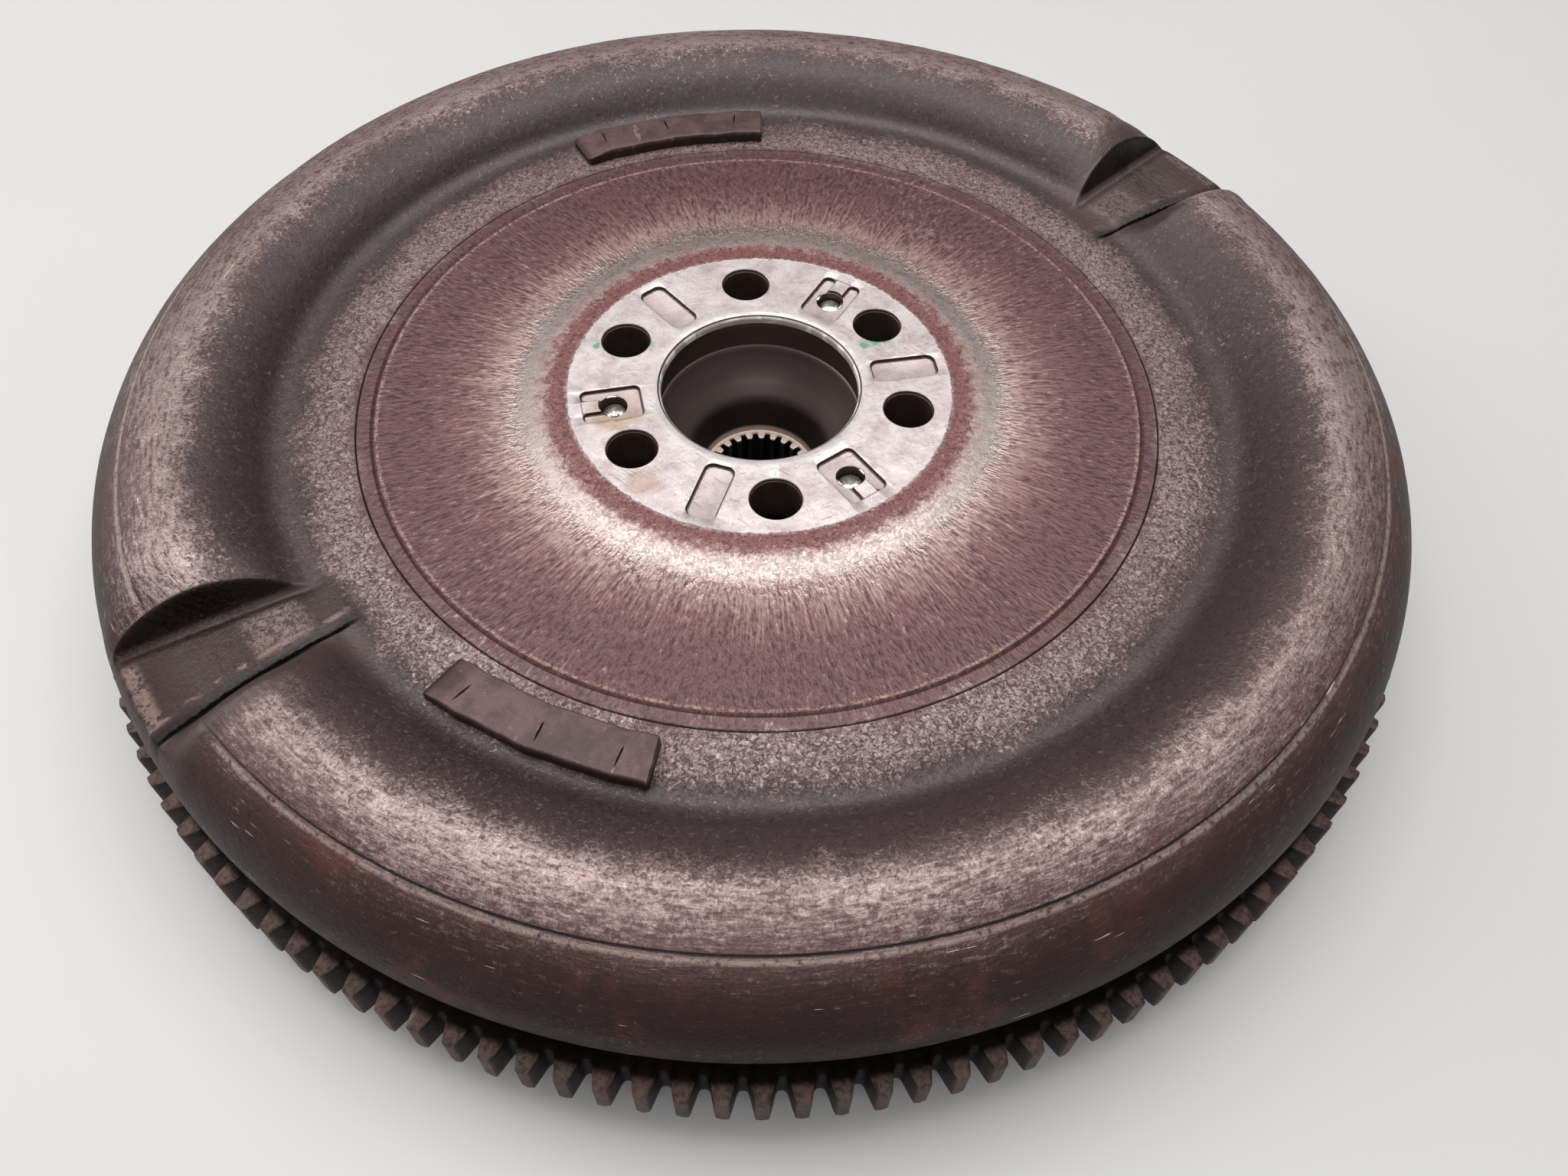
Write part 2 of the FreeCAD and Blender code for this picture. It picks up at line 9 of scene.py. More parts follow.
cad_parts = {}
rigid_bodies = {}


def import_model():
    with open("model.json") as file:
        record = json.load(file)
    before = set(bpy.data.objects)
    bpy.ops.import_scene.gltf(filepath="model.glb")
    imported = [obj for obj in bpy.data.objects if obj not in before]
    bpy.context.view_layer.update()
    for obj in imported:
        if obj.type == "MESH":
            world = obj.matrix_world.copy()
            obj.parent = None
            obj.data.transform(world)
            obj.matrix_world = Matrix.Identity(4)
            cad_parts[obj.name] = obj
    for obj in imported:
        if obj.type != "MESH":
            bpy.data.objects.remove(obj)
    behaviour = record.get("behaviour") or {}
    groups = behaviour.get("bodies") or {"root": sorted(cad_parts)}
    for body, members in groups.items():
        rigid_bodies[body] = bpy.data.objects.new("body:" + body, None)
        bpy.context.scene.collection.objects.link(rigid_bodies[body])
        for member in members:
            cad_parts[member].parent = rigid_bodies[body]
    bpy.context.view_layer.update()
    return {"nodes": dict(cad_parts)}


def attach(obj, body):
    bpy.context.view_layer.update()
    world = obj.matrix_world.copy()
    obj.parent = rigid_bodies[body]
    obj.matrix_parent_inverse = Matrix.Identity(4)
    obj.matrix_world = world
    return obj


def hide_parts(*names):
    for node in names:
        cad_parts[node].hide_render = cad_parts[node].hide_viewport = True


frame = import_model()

# A dual-mass flywheel, engine side up. Lengths are in millimetres and angles in degrees until
# a mesh is made. The axis is Z and the crank face is at z = 0.
MM = 0.001

# Spring channel.
CHANNEL_R = 119.0
CHANNEL_Z = -10.4
CHANNEL_BORE = 15.9
CREST_SKIN = 19.4
SHOULDER_SKIN = 18.9
SEAM_R = 127.6
SEAM_OUT = 127.9
RIM_JOINT_Z = -20.0

# Disc and crank face.
DISC_Z = -1.0
DISC_UNDER_Z = -5.0
HUB_UNDER_Z = -4.5
HUB_FLAT_R = 46.0
HUB_BEND_R = 53.0
FOOT_FILLET = 6.0
INNER_GROOVE_R = 81.5
OUTER_GROOVE_R = 84.8
PILOT_R = 21.25
RELIEF_R = 22.2
BOLT_CIRCLE_R = 32.3
BOLT_HOLE_R = 5.25
BOLT_ANGLES = (-30, 30, 90, 150, 210, 281.6)
COIN_ANGLES = (-56.2, 64.6, 186.2)
# Struck pockets: length along the radius, width and corner radius. The tongue that makes a
# pocket a fork also has the distance from the pocket's middle to its own.
COIN = (14.4, 6.4, 1.9)
FORK = (12.8, 9.2, 1.4)
TONGUE = (4.8, 3.5, 0.3, 4.0)
TONGUE_START = 1.6
COIN_MID_R = 31.8
COIN_DEPTH = 0.8
PIN_ANGLES = (-6.1, 125.6, 240)
PIN_CIRCLE_R = 31.6
PIN_R = 3.0

# Green residue by two of the bolt holes: distance from the axis, angle and size.
BLOTS = ((26.2, -37.5, 1.1), (28.8, -38.0, 1.3), (31.0, -39.0, 0.9), (27.2, 88.0, 0.9), (37.6, 96.5, 0.9))

# Spring stops pressed across the channel, on one line through the axis.
STOP_ANGLES = (-30, 150)
STOP_FLOOR_Z = -0.5
STOP_R0, STOP_R1 = 96.0, 143.0
STOP_HALF_R0, STOP_HALF_R1 = 6.4, 12.3
STOP_STEEPNESS = 1 / math.tan(math.radians(20))
STOP_SKIN = 3.5

# Starter ring gear and cover.
TOOTH_COUNT = 132
GEAR_TOP_Z, GEAR_LOW_Z = -23.5, -32.5
GEAR_SEAT_R = 131.2
BASE_Z = -38.0
COVER_INNER_R = 84.0
COVER_TOP_Z, COVER_UNDER_Z = -17.5, -22.0
COVER_RING_INNER_R = 102.5

# Balance weights: middle angle, span, and the end that is blended into the disc.
WEIGHTS = ((38.5, 29.0, 1), (180.0, 26.5, -1))
WEIGHT_R0, WEIGHT_R1 = 88.6, 98.0
WEIGHT_TOP_Z = 2.0
SLIT_R = 94.1
# Each slit: its share of the span, a shift in degrees and a tilt in degrees.
SLITS = ((0.17, -0.6, -8), (0.5, 0.5, 5), (0.85, 0.3, -4))

# Arc springs: kind, coil radius, wire radius, turns and hand.
SPRINGS = (("outer", 12.2, 2.3, 27, 1), ("inner", 7.2, 1.6, 37, -1))
SPRING_START, SPRING_SPAN = 9.3, 161.4

nodes = frame["nodes"]
# Without a seed of its own the vector noise is new in each run.
noise.seed_set(7)


# ---------------------------------------------------------------- mesh tools


def line(start, end, step):
    """Points from start to end, spaced by at most the step."""
    start, end = np.array(start, float), np.array(end, float)
    count = max(2, math.ceil(np.linalg.norm(end - start) / step) + 1)
    return start + np.linspace(0, 1, count)[:, None] * (end - start)


def arc(centre_r, centre_z, radius, start, end, step):
    """Points along a circle, from one angle to another."""
    count = max(2, math.ceil(abs(math.radians(end - start)) * radius / step) + 1)
    turn = np.radians(np.linspace(start, end, count))
    return np.column_stack((centre_r + radius * np.cos(turn), centre_z + radius * np.sin(turn)))


def path(*runs):
    """The runs end to end, with points that coincide kept once."""
    points = np.vstack([np.atleast_2d(np.array(run, float)) for run in runs])
    apart = np.linalg.norm(np.diff(points, axis=0), axis=1) > 1e-4
    return points[np.concatenate(([True], apart))]


def turned(profile, azimuths):
    """Grid of points: the (radius, height) profile at each azimuth."""
    turn = np.radians(azimuths)[:, None]
    r, z = profile[:, 0][None], profile[:, 1][None]
    return np.stack((r * np.cos(turn), r * np.sin(turn), z + 0 * turn), axis=-1)


def grid_faces(rows, columns, round_closed=True, profile_closed=True):
    """Quads between the neighbours of a grid."""
    i = np.arange(rows if round_closed else rows - 1)[:, None]
    j = np.arange(columns if profile_closed else columns - 1)[None, :]
    i_next, j_next = (i + 1) % rows, (j + 1) % columns
    quads = (i * columns + j, i_next * columns + j, i_next * columns + j_next, i * columns + j_next)
    return np.stack(quads, axis=-1).reshape(-1, 4)


def raw_mesh(name, grid, **closed):
    """Mesh data from a grid of points in millimetres."""
    data = bpy.data.meshes.new(name)
    faces = grid_faces(grid.shape[0], grid.shape[1], **closed)
    data.from_pydata((grid.reshape(-1, 3) * MM).tolist(), [], faces.tolist())
    return data


def edited(data, *edits):
    """The mesh after some edits, each a function of a bmesh."""
    mesh = bmesh.new()
    mesh.from_mesh(data)
    for edit in edits:
        edit(mesh)
    mesh.to_mesh(data)
    mesh.free()
    return data


def face_outward(mesh):
    bmesh.ops.recalc_face_normals(mesh, faces=mesh.faces)


def fill_ends(mesh):
    bmesh.ops.holes_fill(mesh, edges=[e for e in mesh.edges if e.is_boundary])


def loft(name, rings):
    """Closed solid through rings of equally many points, the first and last filled in."""
    data = raw_mesh(name, np.array(rings).transpose(1, 0, 2), profile_closed=False)
    return edited(data, fill_ends, face_outward)


def solid(name, grid):
    """Closed solid from a grid that closes both ways."""
    return edited(raw_mesh(name, grid), face_outward)


def circle(radius, turn, centre_x=0.0):
    """Flat points of a circle, at the angles given in radians."""
    return np.column_stack((centre_x + radius * np.cos(turn), radius * np.sin(turn)))


def level(outline, z):
    """The points of a flat outline, lifted to a height."""
    return np.column_stack((outline, np.full(len(outline), z)))


def ruffled(grid, depth, size, seed):
    """The grid pushed about by smooth noise, by at most the depth."""
    flat = grid.reshape(-1, 3)
    push = np.empty_like(flat)
    for index, point in enumerate(flat):
        push[index] = noise.noise_vector(Vector(point) / size + Vector((seed, seed, seed)))
    return (flat + depth * push).reshape(grid.shape)


def make_object(name, data):
    thing = bpy.data.objects.new(name, data)
    bpy.context.scene.collection.objects.link(thing)
    return thing


def joined(name, *parts):
    """One mesh from several, with points that coincide welded."""
    mesh = bmesh.new()
    for part in parts:
        mesh.from_mesh(part)
    bmesh.ops.remove_doubles(mesh, verts=mesh.verts, dist=1e-6)
    face_outward(mesh)
    data = bpy.data.meshes.new(name)
    mesh.to_mesh(data)
    mesh.free()
    return data


def carved(data, tools):
    """The mesh with the tools cut out of it."""
    carving = make_object("carving", data)
    cutters = bpy.data.collections.new("cutters")
    bpy.context.scene.collection.children.link(cutters)
    for tool in tools:
        cutters.objects.link(bpy.data.objects.new(tool.name, tool))
    cut = carving.modifiers.new("cut", "BOOLEAN")
    cut.operation = "DIFFERENCE"
    cut.solver = "EXACT"
    cut.operand_type = "COLLECTION"
    cut.collection = cutters
    bpy.context.view_layer.update()
    evaluated = carving.evaluated_get(bpy.context.evaluated_depsgraph_get())
    result = bpy.data.meshes.new_from_object(evaluated)
    for thing in list(cutters.objects):
        bpy.data.objects.remove(thing)
    bpy.data.collections.remove(cutters)
    bpy.data.objects.remove(carving)
    return result


def show(name, data, finish, body, *replaced, sharp=35):
    """Put a finished mesh in the scene as a piece that rides on a body."""
    data.materials.clear()
    data.materials.append(steel[finish])
    data.shade_smooth()
    data.set_sharp_from_angle(angle=math.radians(sharp))
    thing = make_object(name, data)
    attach(thing, body)
    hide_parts(*replaced)


def at_angle(points, angle):
    """Points turned about the axis."""
    turn = math.radians(angle)
    c, s = math.cos(turn), math.sin(turn)
    x, y, z = points[..., 0], points[..., 1], points[..., 2]
    return np.stack((x * c - y * s, x * s + y * c, z), axis=-1)


def channel_arc(radius, start, end, step):
    return arc(CHANNEL_R, CHANNEL_Z, radius, start, end, step)


def soft_min(a, b, reach):
    """The lower of two heights, with the crease rounded over the reach."""
    near = np.maximum(reach - np.abs(a - b), 0) / reach
    return np.minimum(a, b) - near**2 * reach / 4


# ---------------------------------------------------------------- primary shell


def shell_azimuths():
    """Half-degree steps all round, finer across the walls of the two stops."""
    coarse = np.arange(0, 360, 0.5)
    fine = np.arange(2.4, 8.2, 0.1)
    found = [coarse]
    for stop in STOP_ANGLES:
        found += [stop + fine, stop - fine]
    return np.unique(np.round(np.concatenate(found) % 360, 3))


def groove(r, half_width, depth, lip):
    """A fine rounded groove across the disc, with a slightly raised edge on each side."""
    shape = (
        (-2.4, 0), (-1.5, 0.5), (-1.0, 0.8), (-0.6, -0.3), (0, -1),
        (0.6, -0.3), (1.0, 0.8), (1.5, 0.5), (2.4, 0),
    )
    return [(r + s * half_width, DISC_Z + (depth if h < 0 else lip) * h) for s, h in shape]


def stop_frame(x, y):
    """Distance along and across the line of the stops, and the half width of a pocket there."""
    turn = math.radians(STOP_ANGLES[0])
    along = np.abs(x * math.cos(turn) + y * math.sin(turn))
    across = -x * math.sin(turn) + y * math.cos(turn)
    half = np.interp(along, (STOP_R0, STOP_R1), (STOP_HALF_R0, STOP_HALF_R1))
    return along, across, half


def pressed_stops(grid, lowered, widened):
    """Push the grid down into the two pockets. The lining is lowered and widened by the skin."""
    x, y, z = grid[..., 0], grid[..., 1], grid[..., 2]
    along, across, half = stop_frame(x, y)
    # The channel wall sags towards each pocket: steeply on one side, gently on the other.
    steep = 0.84 * np.clip((half + 7.6 - np.abs(across)) / 7.0, 0, 1) ** 1.5
    gentle = 0.30 * np.clip((half + 13.0 - np.abs(across)) / 10.5, 0, 1) ** 2
    sag = np.where(across < 0, steep, gentle)
    z = z - sag * np.maximum(z - STOP_FLOOR_Z + lowered, 0) * (along > STOP_R0)
    beyond = np.abs(across) - half - widened
    rise = STOP_STEEPNESS * 0.5 * (beyond + np.sqrt(beyond**2 + 0.35))
    # Between the walls the floor is a low pad, with a shallow gutter along each wall.
    gutter = np.exp(-(((np.abs(across) - half + 1.3) / 1.1) ** 2)) * 0.55
    inner_end = 0.35 * np.exp(-(((along - 101.5) / 1.6) ** 2))
    pocket = STOP_FLOOR_Z - lowered + rise - gutter - inner_end
    pressed = soft_min(z, pocket, 1.0)
    in_channel = (along > STOP_R0 + 2) & (z > -9)
    result = grid.copy()
    result[..., 2] = np.where(in_channel, pressed, z)
    return result


def outer_shell():
    """The sheet from the crank face out to the rim, both sides, open where the crank face joins."""
    azimuths = shell_azimuths()
    fillet_z = DISC_Z + FOOT_FILLET
    reach = CREST_SKIN + FOOT_FILLET
    fillet_r = CHANNEL_R - math.sqrt(reach**2 - (fillet_z - CHANNEL_Z) ** 2)
    foot = math.degrees(math.atan2(fillet_z - CHANNEL_Z, fillet_r - CHANNEL_R))
    seam = math.degrees(math.acos((SEAM_R - CHANNEL_R) / CREST_SKIN))
    rim = math.degrees(math.asin((RIM_JOINT_Z - CHANNEL_Z) / SHOULDER_SKIN))
    inner_rim = math.degrees(math.asin((RIM_JOINT_Z - CHANNEL_Z) / CHANNEL_BORE))
    inner_foot = 180 - math.degrees(math.asin((DISC_UNDER_Z - CHANNEL_Z) / CHANNEL_BORE))
    bend = np.linspace(0, 1, 15)
    bend_r = HUB_FLAT_R + (HUB_BEND_R - HUB_FLAT_R) * bend
    bend_z = DISC_Z * (bend**2 * (3 - 2 * bend))
    top = path(
        np.column_stack((bend_r, bend_z)),
        line((HUB_BEND_R, DISC_Z), (INNER_GROOVE_R - 1.2, DISC_Z), 2.2),
        groove(INNER_GROOVE_R, 0.5, 0.32, 0.07),
        groove(OUTER_GROOVE_R, 0.26, 0.3, 0.03),
        line((OUTER_GROOVE_R + 0.7, DISC_Z), (fillet_r, DISC_Z), 1.6),
        arc(fillet_r, fillet_z, FOOT_FILLET, 270, 180 + foot, 0.8),
        channel_arc(CREST_SKIN, foot, seam + 1.0, 0.8),
    )
    seam_lines = path(
        channel_arc(CREST_SKIN, seam + 0.8, seam + 0.1, 0.12),
        channel_arc(SHOULDER_SKIN - 0.12, seam - 0.5, seam - 1.3, 0.12),
        channel_arc(SHOULDER_SKIN + 0.05, seam - 2.0, seam - 2.9, 0.2),
        channel_arc(SHOULDER_SKIN, seam - 3.6, rim, 0.9),
    )
    outer = path(top, seam_lines)
    inner = path(
        channel_arc(CHANNEL_BORE, inner_rim, inner_foot, 1.1),
        line((CHANNEL_R + CHANNEL_BORE * math.cos(math.radians(inner_foot)), DISC_UNDER_Z),
             (HUB_BEND_R, DISC_UNDER_Z), 4.0),
        (HUB_FLAT_R, HUB_UNDER_Z),
    )
    grid = turned(outer, azimuths)

    # The seam's step dies out on each side of the stops.
    along, across, half = stop_frame(grid[..., 0], grid[..., 1])
    outside = np.arange(len(outer))[None, :] >= len(top)
    calm = 1 - np.clip((np.abs(across) - half - 5.5) / 5, 0, 1)
    calm = np.where(outside & (along > STOP_R0), calm, 0)
    r = np.hypot(grid[..., 0], grid[..., 1])
    dr, dz = r - CHANNEL_R, grid[..., 2] - CHANNEL_Z
    skin = np.hypot(dr, dz)
    seam_side = np.clip((grid[..., 2] - CHANNEL_Z) / 12, 0, 1)
    grow = 1 + calm * seam_side * (CREST_SKIN / skin - 1)
    new_r = CHANNEL_R + dr * grow
    grid[..., 0] *= new_r / r
    grid[..., 1] *= new_r / r
    grid[..., 2] = CHANNEL_Z + dz * grow

    # Slow waves of the pressing, which only ever lower the sheet.
    points = [Vector(point) for point in grid.reshape(-1, 3)]
    wave = np.array([noise.noise(point / 17) + 0.4 * noise.noise(point / 4.3) for point in points])
    wave = wave.reshape(grid.shape[:2])
    radius = np.hypot(grid[..., 0], grid[..., 1])
    share = np.clip((radius - 86) / 12, 0, 1) * np.clip((grid[..., 2] + 19) / 4, 0, 1)
    grid[..., 2] -= 0.10 * share * (1 + wave)
    top_grid = pressed_stops(grid, 0, 0)
    inner_grid = pressed_stops(turned(inner, azimuths), STOP_SKIN, 2.45)
    whole = np.concatenate((top_grid, inner_grid), axis=1)
    return raw_mesh("outer_shell", whole, profile_closed=False)


def crank_face_blank():
    """The thick flat ring round the pilot bore, closed, before it is drilled."""
    profile = path(
        (RELIEF_R, HUB_UNDER_Z),
        (RELIEF_R, -2.2),
        (RELIEF_R - 0.12, -2.05),
        (PILOT_R + 0.15, -2.05),
        (PILOT_R, -1.9),
        (PILOT_R, -0.78),
        (PILOT_R + 0.08, -0.62),
        (PILOT_R + 0.62, -0.08),
        (PILOT_R + 0.8, 0),
        line((23.4, 0), (HUB_FLAT_R, 0), 4.6),
        (HUB_FLAT_R, HUB_UNDER_Z),
    )
    return solid("crank_face", turned(profile, shell_azimuths()))


def rounded_outline(corners, grow, radius):
    """Outline of a square-cornered shape, grown by an amount, with each corner rounded.

    The corners run anticlockwise. Every outline of the same corners has as many points."""
    count = len(corners)
    points = []
    for index in range(count):
        before, here, after = (np.array(corners[(index + k) % count], float) for k in (-1, 0, 1))
        way_in = (here - before) / np.linalg.norm(here - before)
        way_out = (after - here) / np.linalg.norm(after - here)
        outward_in = np.array((way_in[1], -way_in[0]))
        outward_out = np.array((way_out[1], -way_out[0]))
        corner = here + grow * (outward_in + outward_out)
        convex = way_in[0] * way_out[1] - way_in[1] * way_out[0] > 0
        size = max(0.05, radius + grow if convex else radius - grow)
        for share in np.linspace(0, 1, 7):
            turn = share * math.pi / 2
            back, ahead = size * (1 - math.sin(turn)), size * (1 - math.cos(turn))
            points.append(corner - way_in * back + way_out * ahead)
    return np.array(points)


def pocket_tool(name, corners, radius, angle):
    """Cutter for a coined pocket: filleted at the bottom, with a rolled top edge."""
    levels = (
        (-COIN_DEPTH, -0.18), (-0.74, -0.05), (-0.6, 0), (-0.14, 0.01),
        (-0.04, 0.06), (0.02, 0.15), (1, 0.15),
    )
    rings = [level(rounded_outline(corners, grow, radius) + (COIN_MID_R, 0), z) for z, grow in levels]
    return loft(name, at_angle(np.array(rings), angle))


def round_tool(name, circle_r, angle, levels, step):
    """Cutter for a round hole, through (height, radius) levels."""
    turn = np.radians(np.arange(0, 360, step))
    rings = [level(circle(radius, turn, circle_r), z) for z, radius in levels]
    return loft(name, at_angle(np.array(rings), angle))


def hole_tool(name, radius, circle_r, angle, edge):
    """Cutter for a drilled hole with a softened edge."""
    grown = ((-6, 0), (-1.4 * edge, 0), (-0.6 * edge, 0.25 * edge), (0.01, edge), (2, edge))
    return round_tool(name, circle_r, angle, [(z, radius + grow) for z, grow in grown], 5)


def crank_face():
    x, y = COIN[0] / 2, COIN[1] / 2
    plain = ((-x, -y), (x, -y), (x, y), (-x, y))
    x, y, w = FORK[0] / 2, FORK[1] / 2, TONGUE[1] / 2
    fork = ((-x, -y), (x, -y), (x, -w), (TONGUE_START, -w), (TONGUE_START, w), (x, w), (x, y), (-x, y))
    tools = []
    for number, angle in enumerate(COIN_ANGLES):
        tools.append(pocket_tool(f"coin_{number}", plain, COIN[2], angle))
    for number, angle in enumerate(PIN_ANGLES):
        tools.append(pocket_tool(f"fork_{number}", fork, FORK[2], angle))
        tools.append(hole_tool(f"pin_hole_{number}", PIN_R + 0.05, PIN_CIRCLE_R, angle, 0.12))
    for number, angle in enumerate(BOLT_ANGLES):
        tools.append(hole_tool(f"bolt_hole_{number}", BOLT_HOLE_R, BOLT_CIRCLE_R, angle, 0.3))

    def open_rim(mesh):
        edge = (HUB_FLAT_R - 0.01) * MM
        rim = [f for f in mesh.faces if all(math.hypot(v.co.x, v.co.y) > edge for v in f.verts)]
        bmesh.ops.delete(mesh, geom=rim, context="FACES")

    return edited(carved(crank_face_blank(), tools), open_rim)


# ---------------------------------------------------------------- ring gear


def tooth_ring(inset):
    """Outline of the gear, moved into the metal by the inset."""
    half = np.array((
        (141.80, 0.0), (141.80, 0.8), (141.78, 1.0), (141.70, 1.14), (141.52, 1.22), (140.5, 1.50),
        (139.3, 1.82), (138.3, 2.08), (137.8, 2.22), (137.42, 2.40), (137.14, 2.70), (137.06, 3.05),
    ))
    side = np.vstack((half[::-1] * (1, -1), half[1:]))
    pitch = 360 / TOOTH_COUNT
    rng = np.random.default_rng(11)
    outline = []
    for index in range(TOOTH_COUNT):
        worn = rng.uniform(0, 0.22, 2)
        tooth = side.copy()
        left, right = tooth[:, 1] < -0.5, tooth[:, 1] > 0.5
        tip = tooth[:, 0] > 141
        tooth[left & tip, 0] -= worn[0]
        tooth[right & tip, 0] -= worn[1]
        turn = np.radians(index * pitch) + tooth[:, 1] / tooth[:, 0]
        outline.append(np.column_stack((tooth[:, 0] * np.cos(turn), tooth[:, 0] * np.sin(turn))))
    outline = np.vstack(outline)
    ahead, behind = np.roll(outline, -1, axis=0), np.roll(outline, 1, axis=0)
    along = ahead - behind
    along /= np.linalg.norm(along, axis=1)[:, None]
    return outline - inset * np.column_stack((along[:, 1], -along[:, 0]))


def ring_gear():
    """The toothed outline at each height and inset, then round by the bore it is seated with."""
    teeth = (
        (GEAR_LOW_Z, 0.3), (GEAR_LOW_Z + 0.1, 0.1), (GEAR_LOW_Z + 0.32, 0), (-30, 0), (-28, 0),
        (-26, 0), (GEAR_TOP_Z - 0.3, 0), (GEAR_TOP_Z - 0.1, 0.07), (GEAR_TOP_Z, 0.22),
    )
    bore = (
        (134.6, GEAR_TOP_Z), (GEAR_SEAT_R + 0.3, GEAR_TOP_Z), (GEAR_SEAT_R, GEAR_TOP_Z - 0.3),
        (GEAR_SEAT_R, GEAR_LOW_Z + 0.3), (GEAR_SEAT_R + 0.3, GEAR_LOW_Z), (134.6, GEAR_LOW_Z),
    )
    flat = tooth_ring(0)
    turn = np.arctan2(flat[:, 1], flat[:, 0])
    rings = [level(tooth_ring(inset), z) for z, inset in teeth]
    rings += [level(circle(radius, turn), z) for radius, z in bore]
    return solid("starter_ring_gear", np.array(rings).transpose(1, 0, 2))


# ---------------------------------------------------------------- cover


def cover():
    """Forged ring that closes the channel, with a lug under each stop and a weld at the rim."""
    rim = math.degrees(math.asin((RIM_JOINT_Z - CHANNEL_Z) / SHOULDER_SKIN))
    shoulder = math.degrees(math.asin((GEAR_TOP_Z - CHANNEL_Z) / SHOULDER_SKIN))
    inner_rim = math.degrees(math.asin((RIM_JOINT_Z - CHANNEL_Z) / CHANNEL_BORE))
    inner_foot = -180 - math.degrees(math.asin((COVER_TOP_Z - CHANNEL_Z) / CHANNEL_BORE))
    rim_r = CHANNEL_R + SHOULDER_SKIN * math.cos(math.radians(rim))
    profile = path(
        (CHANNEL_R + CHANNEL_BORE * math.cos(math.radians(inner_rim)), RIM_JOINT_Z),
        (rim_r - 0.7, RIM_JOINT_Z),
        arc(rim_r - 0.25, RIM_JOINT_Z - 0.65, 0.65, 80, -60, 0.25),
        channel_arc(SHOULDER_SKIN, rim - 4.5, shoulder, 0.7),
        (GEAR_SEAT_R, GEAR_TOP_Z),
        line((GEAR_SEAT_R, GEAR_TOP_Z - 0.2), (GEAR_SEAT_R, BASE_Z + 1.2), 2.5),
        arc(GEAR_SEAT_R - 1.2, BASE_Z + 1.2, 1.2, 0, -90, 0.4),
        line((GEAR_SEAT_R - 1.3, BASE_Z), (COVER_RING_INNER_R + 1.3, BASE_Z), 5),
        arc(COVER_RING_INNER_R + 1.2, BASE_Z + 1.2, 1.2, -90, -180, 0.4),
        line((COVER_RING_INNER_R, BASE_Z + 1.4), (COVER_RING_INNER_R, COVER_UNDER_Z - 2), 2.5),
        arc(COVER_RING_INNER_R - 2, COVER_UNDER_Z - 2, 2, 0, 90, 0.6),
        line((COVER_RING_INNER_R - 2.2, COVER_UNDER_Z), (COVER_INNER_R + 0.5, COVER_UNDER_Z), 4),
        (COVER_INNER_R, COVER_UNDER_Z + 0.5),
        (COVER_INNER_R, COVER_TOP_Z - 0.5),
        (COVER_INNER_R + 0.5, COVER_TOP_Z),
        channel_arc(CHANNEL_BORE, inner_foot, inner_rim - 2, 1.2),
    )
    grid = turned(profile, np.arange(0, 360, 0.75))
    x, y, z = grid[..., 0], grid[..., 1], grid[..., 2]
    radius = np.hypot(x, y)
    along, across, half = stop_frame(x, y)
    lug_half = half - 6 / STOP_STEEPNESS + 2.5
    lug = RIM_JOINT_Z - np.maximum(np.abs(across) - lug_half, 0) * STOP_STEEPNESS
    in_bowl = (np.hypot(radius - CHANNEL_R, z - CHANNEL_Z) < CHANNEL_BORE + 0.1) & (along > STOP_R0)
    grid[..., 2] = np.where(in_bowl, np.maximum(z, lug), z)
    return solid("primary_cover", grid)


# ---------------------------------------------------------------- balance weights


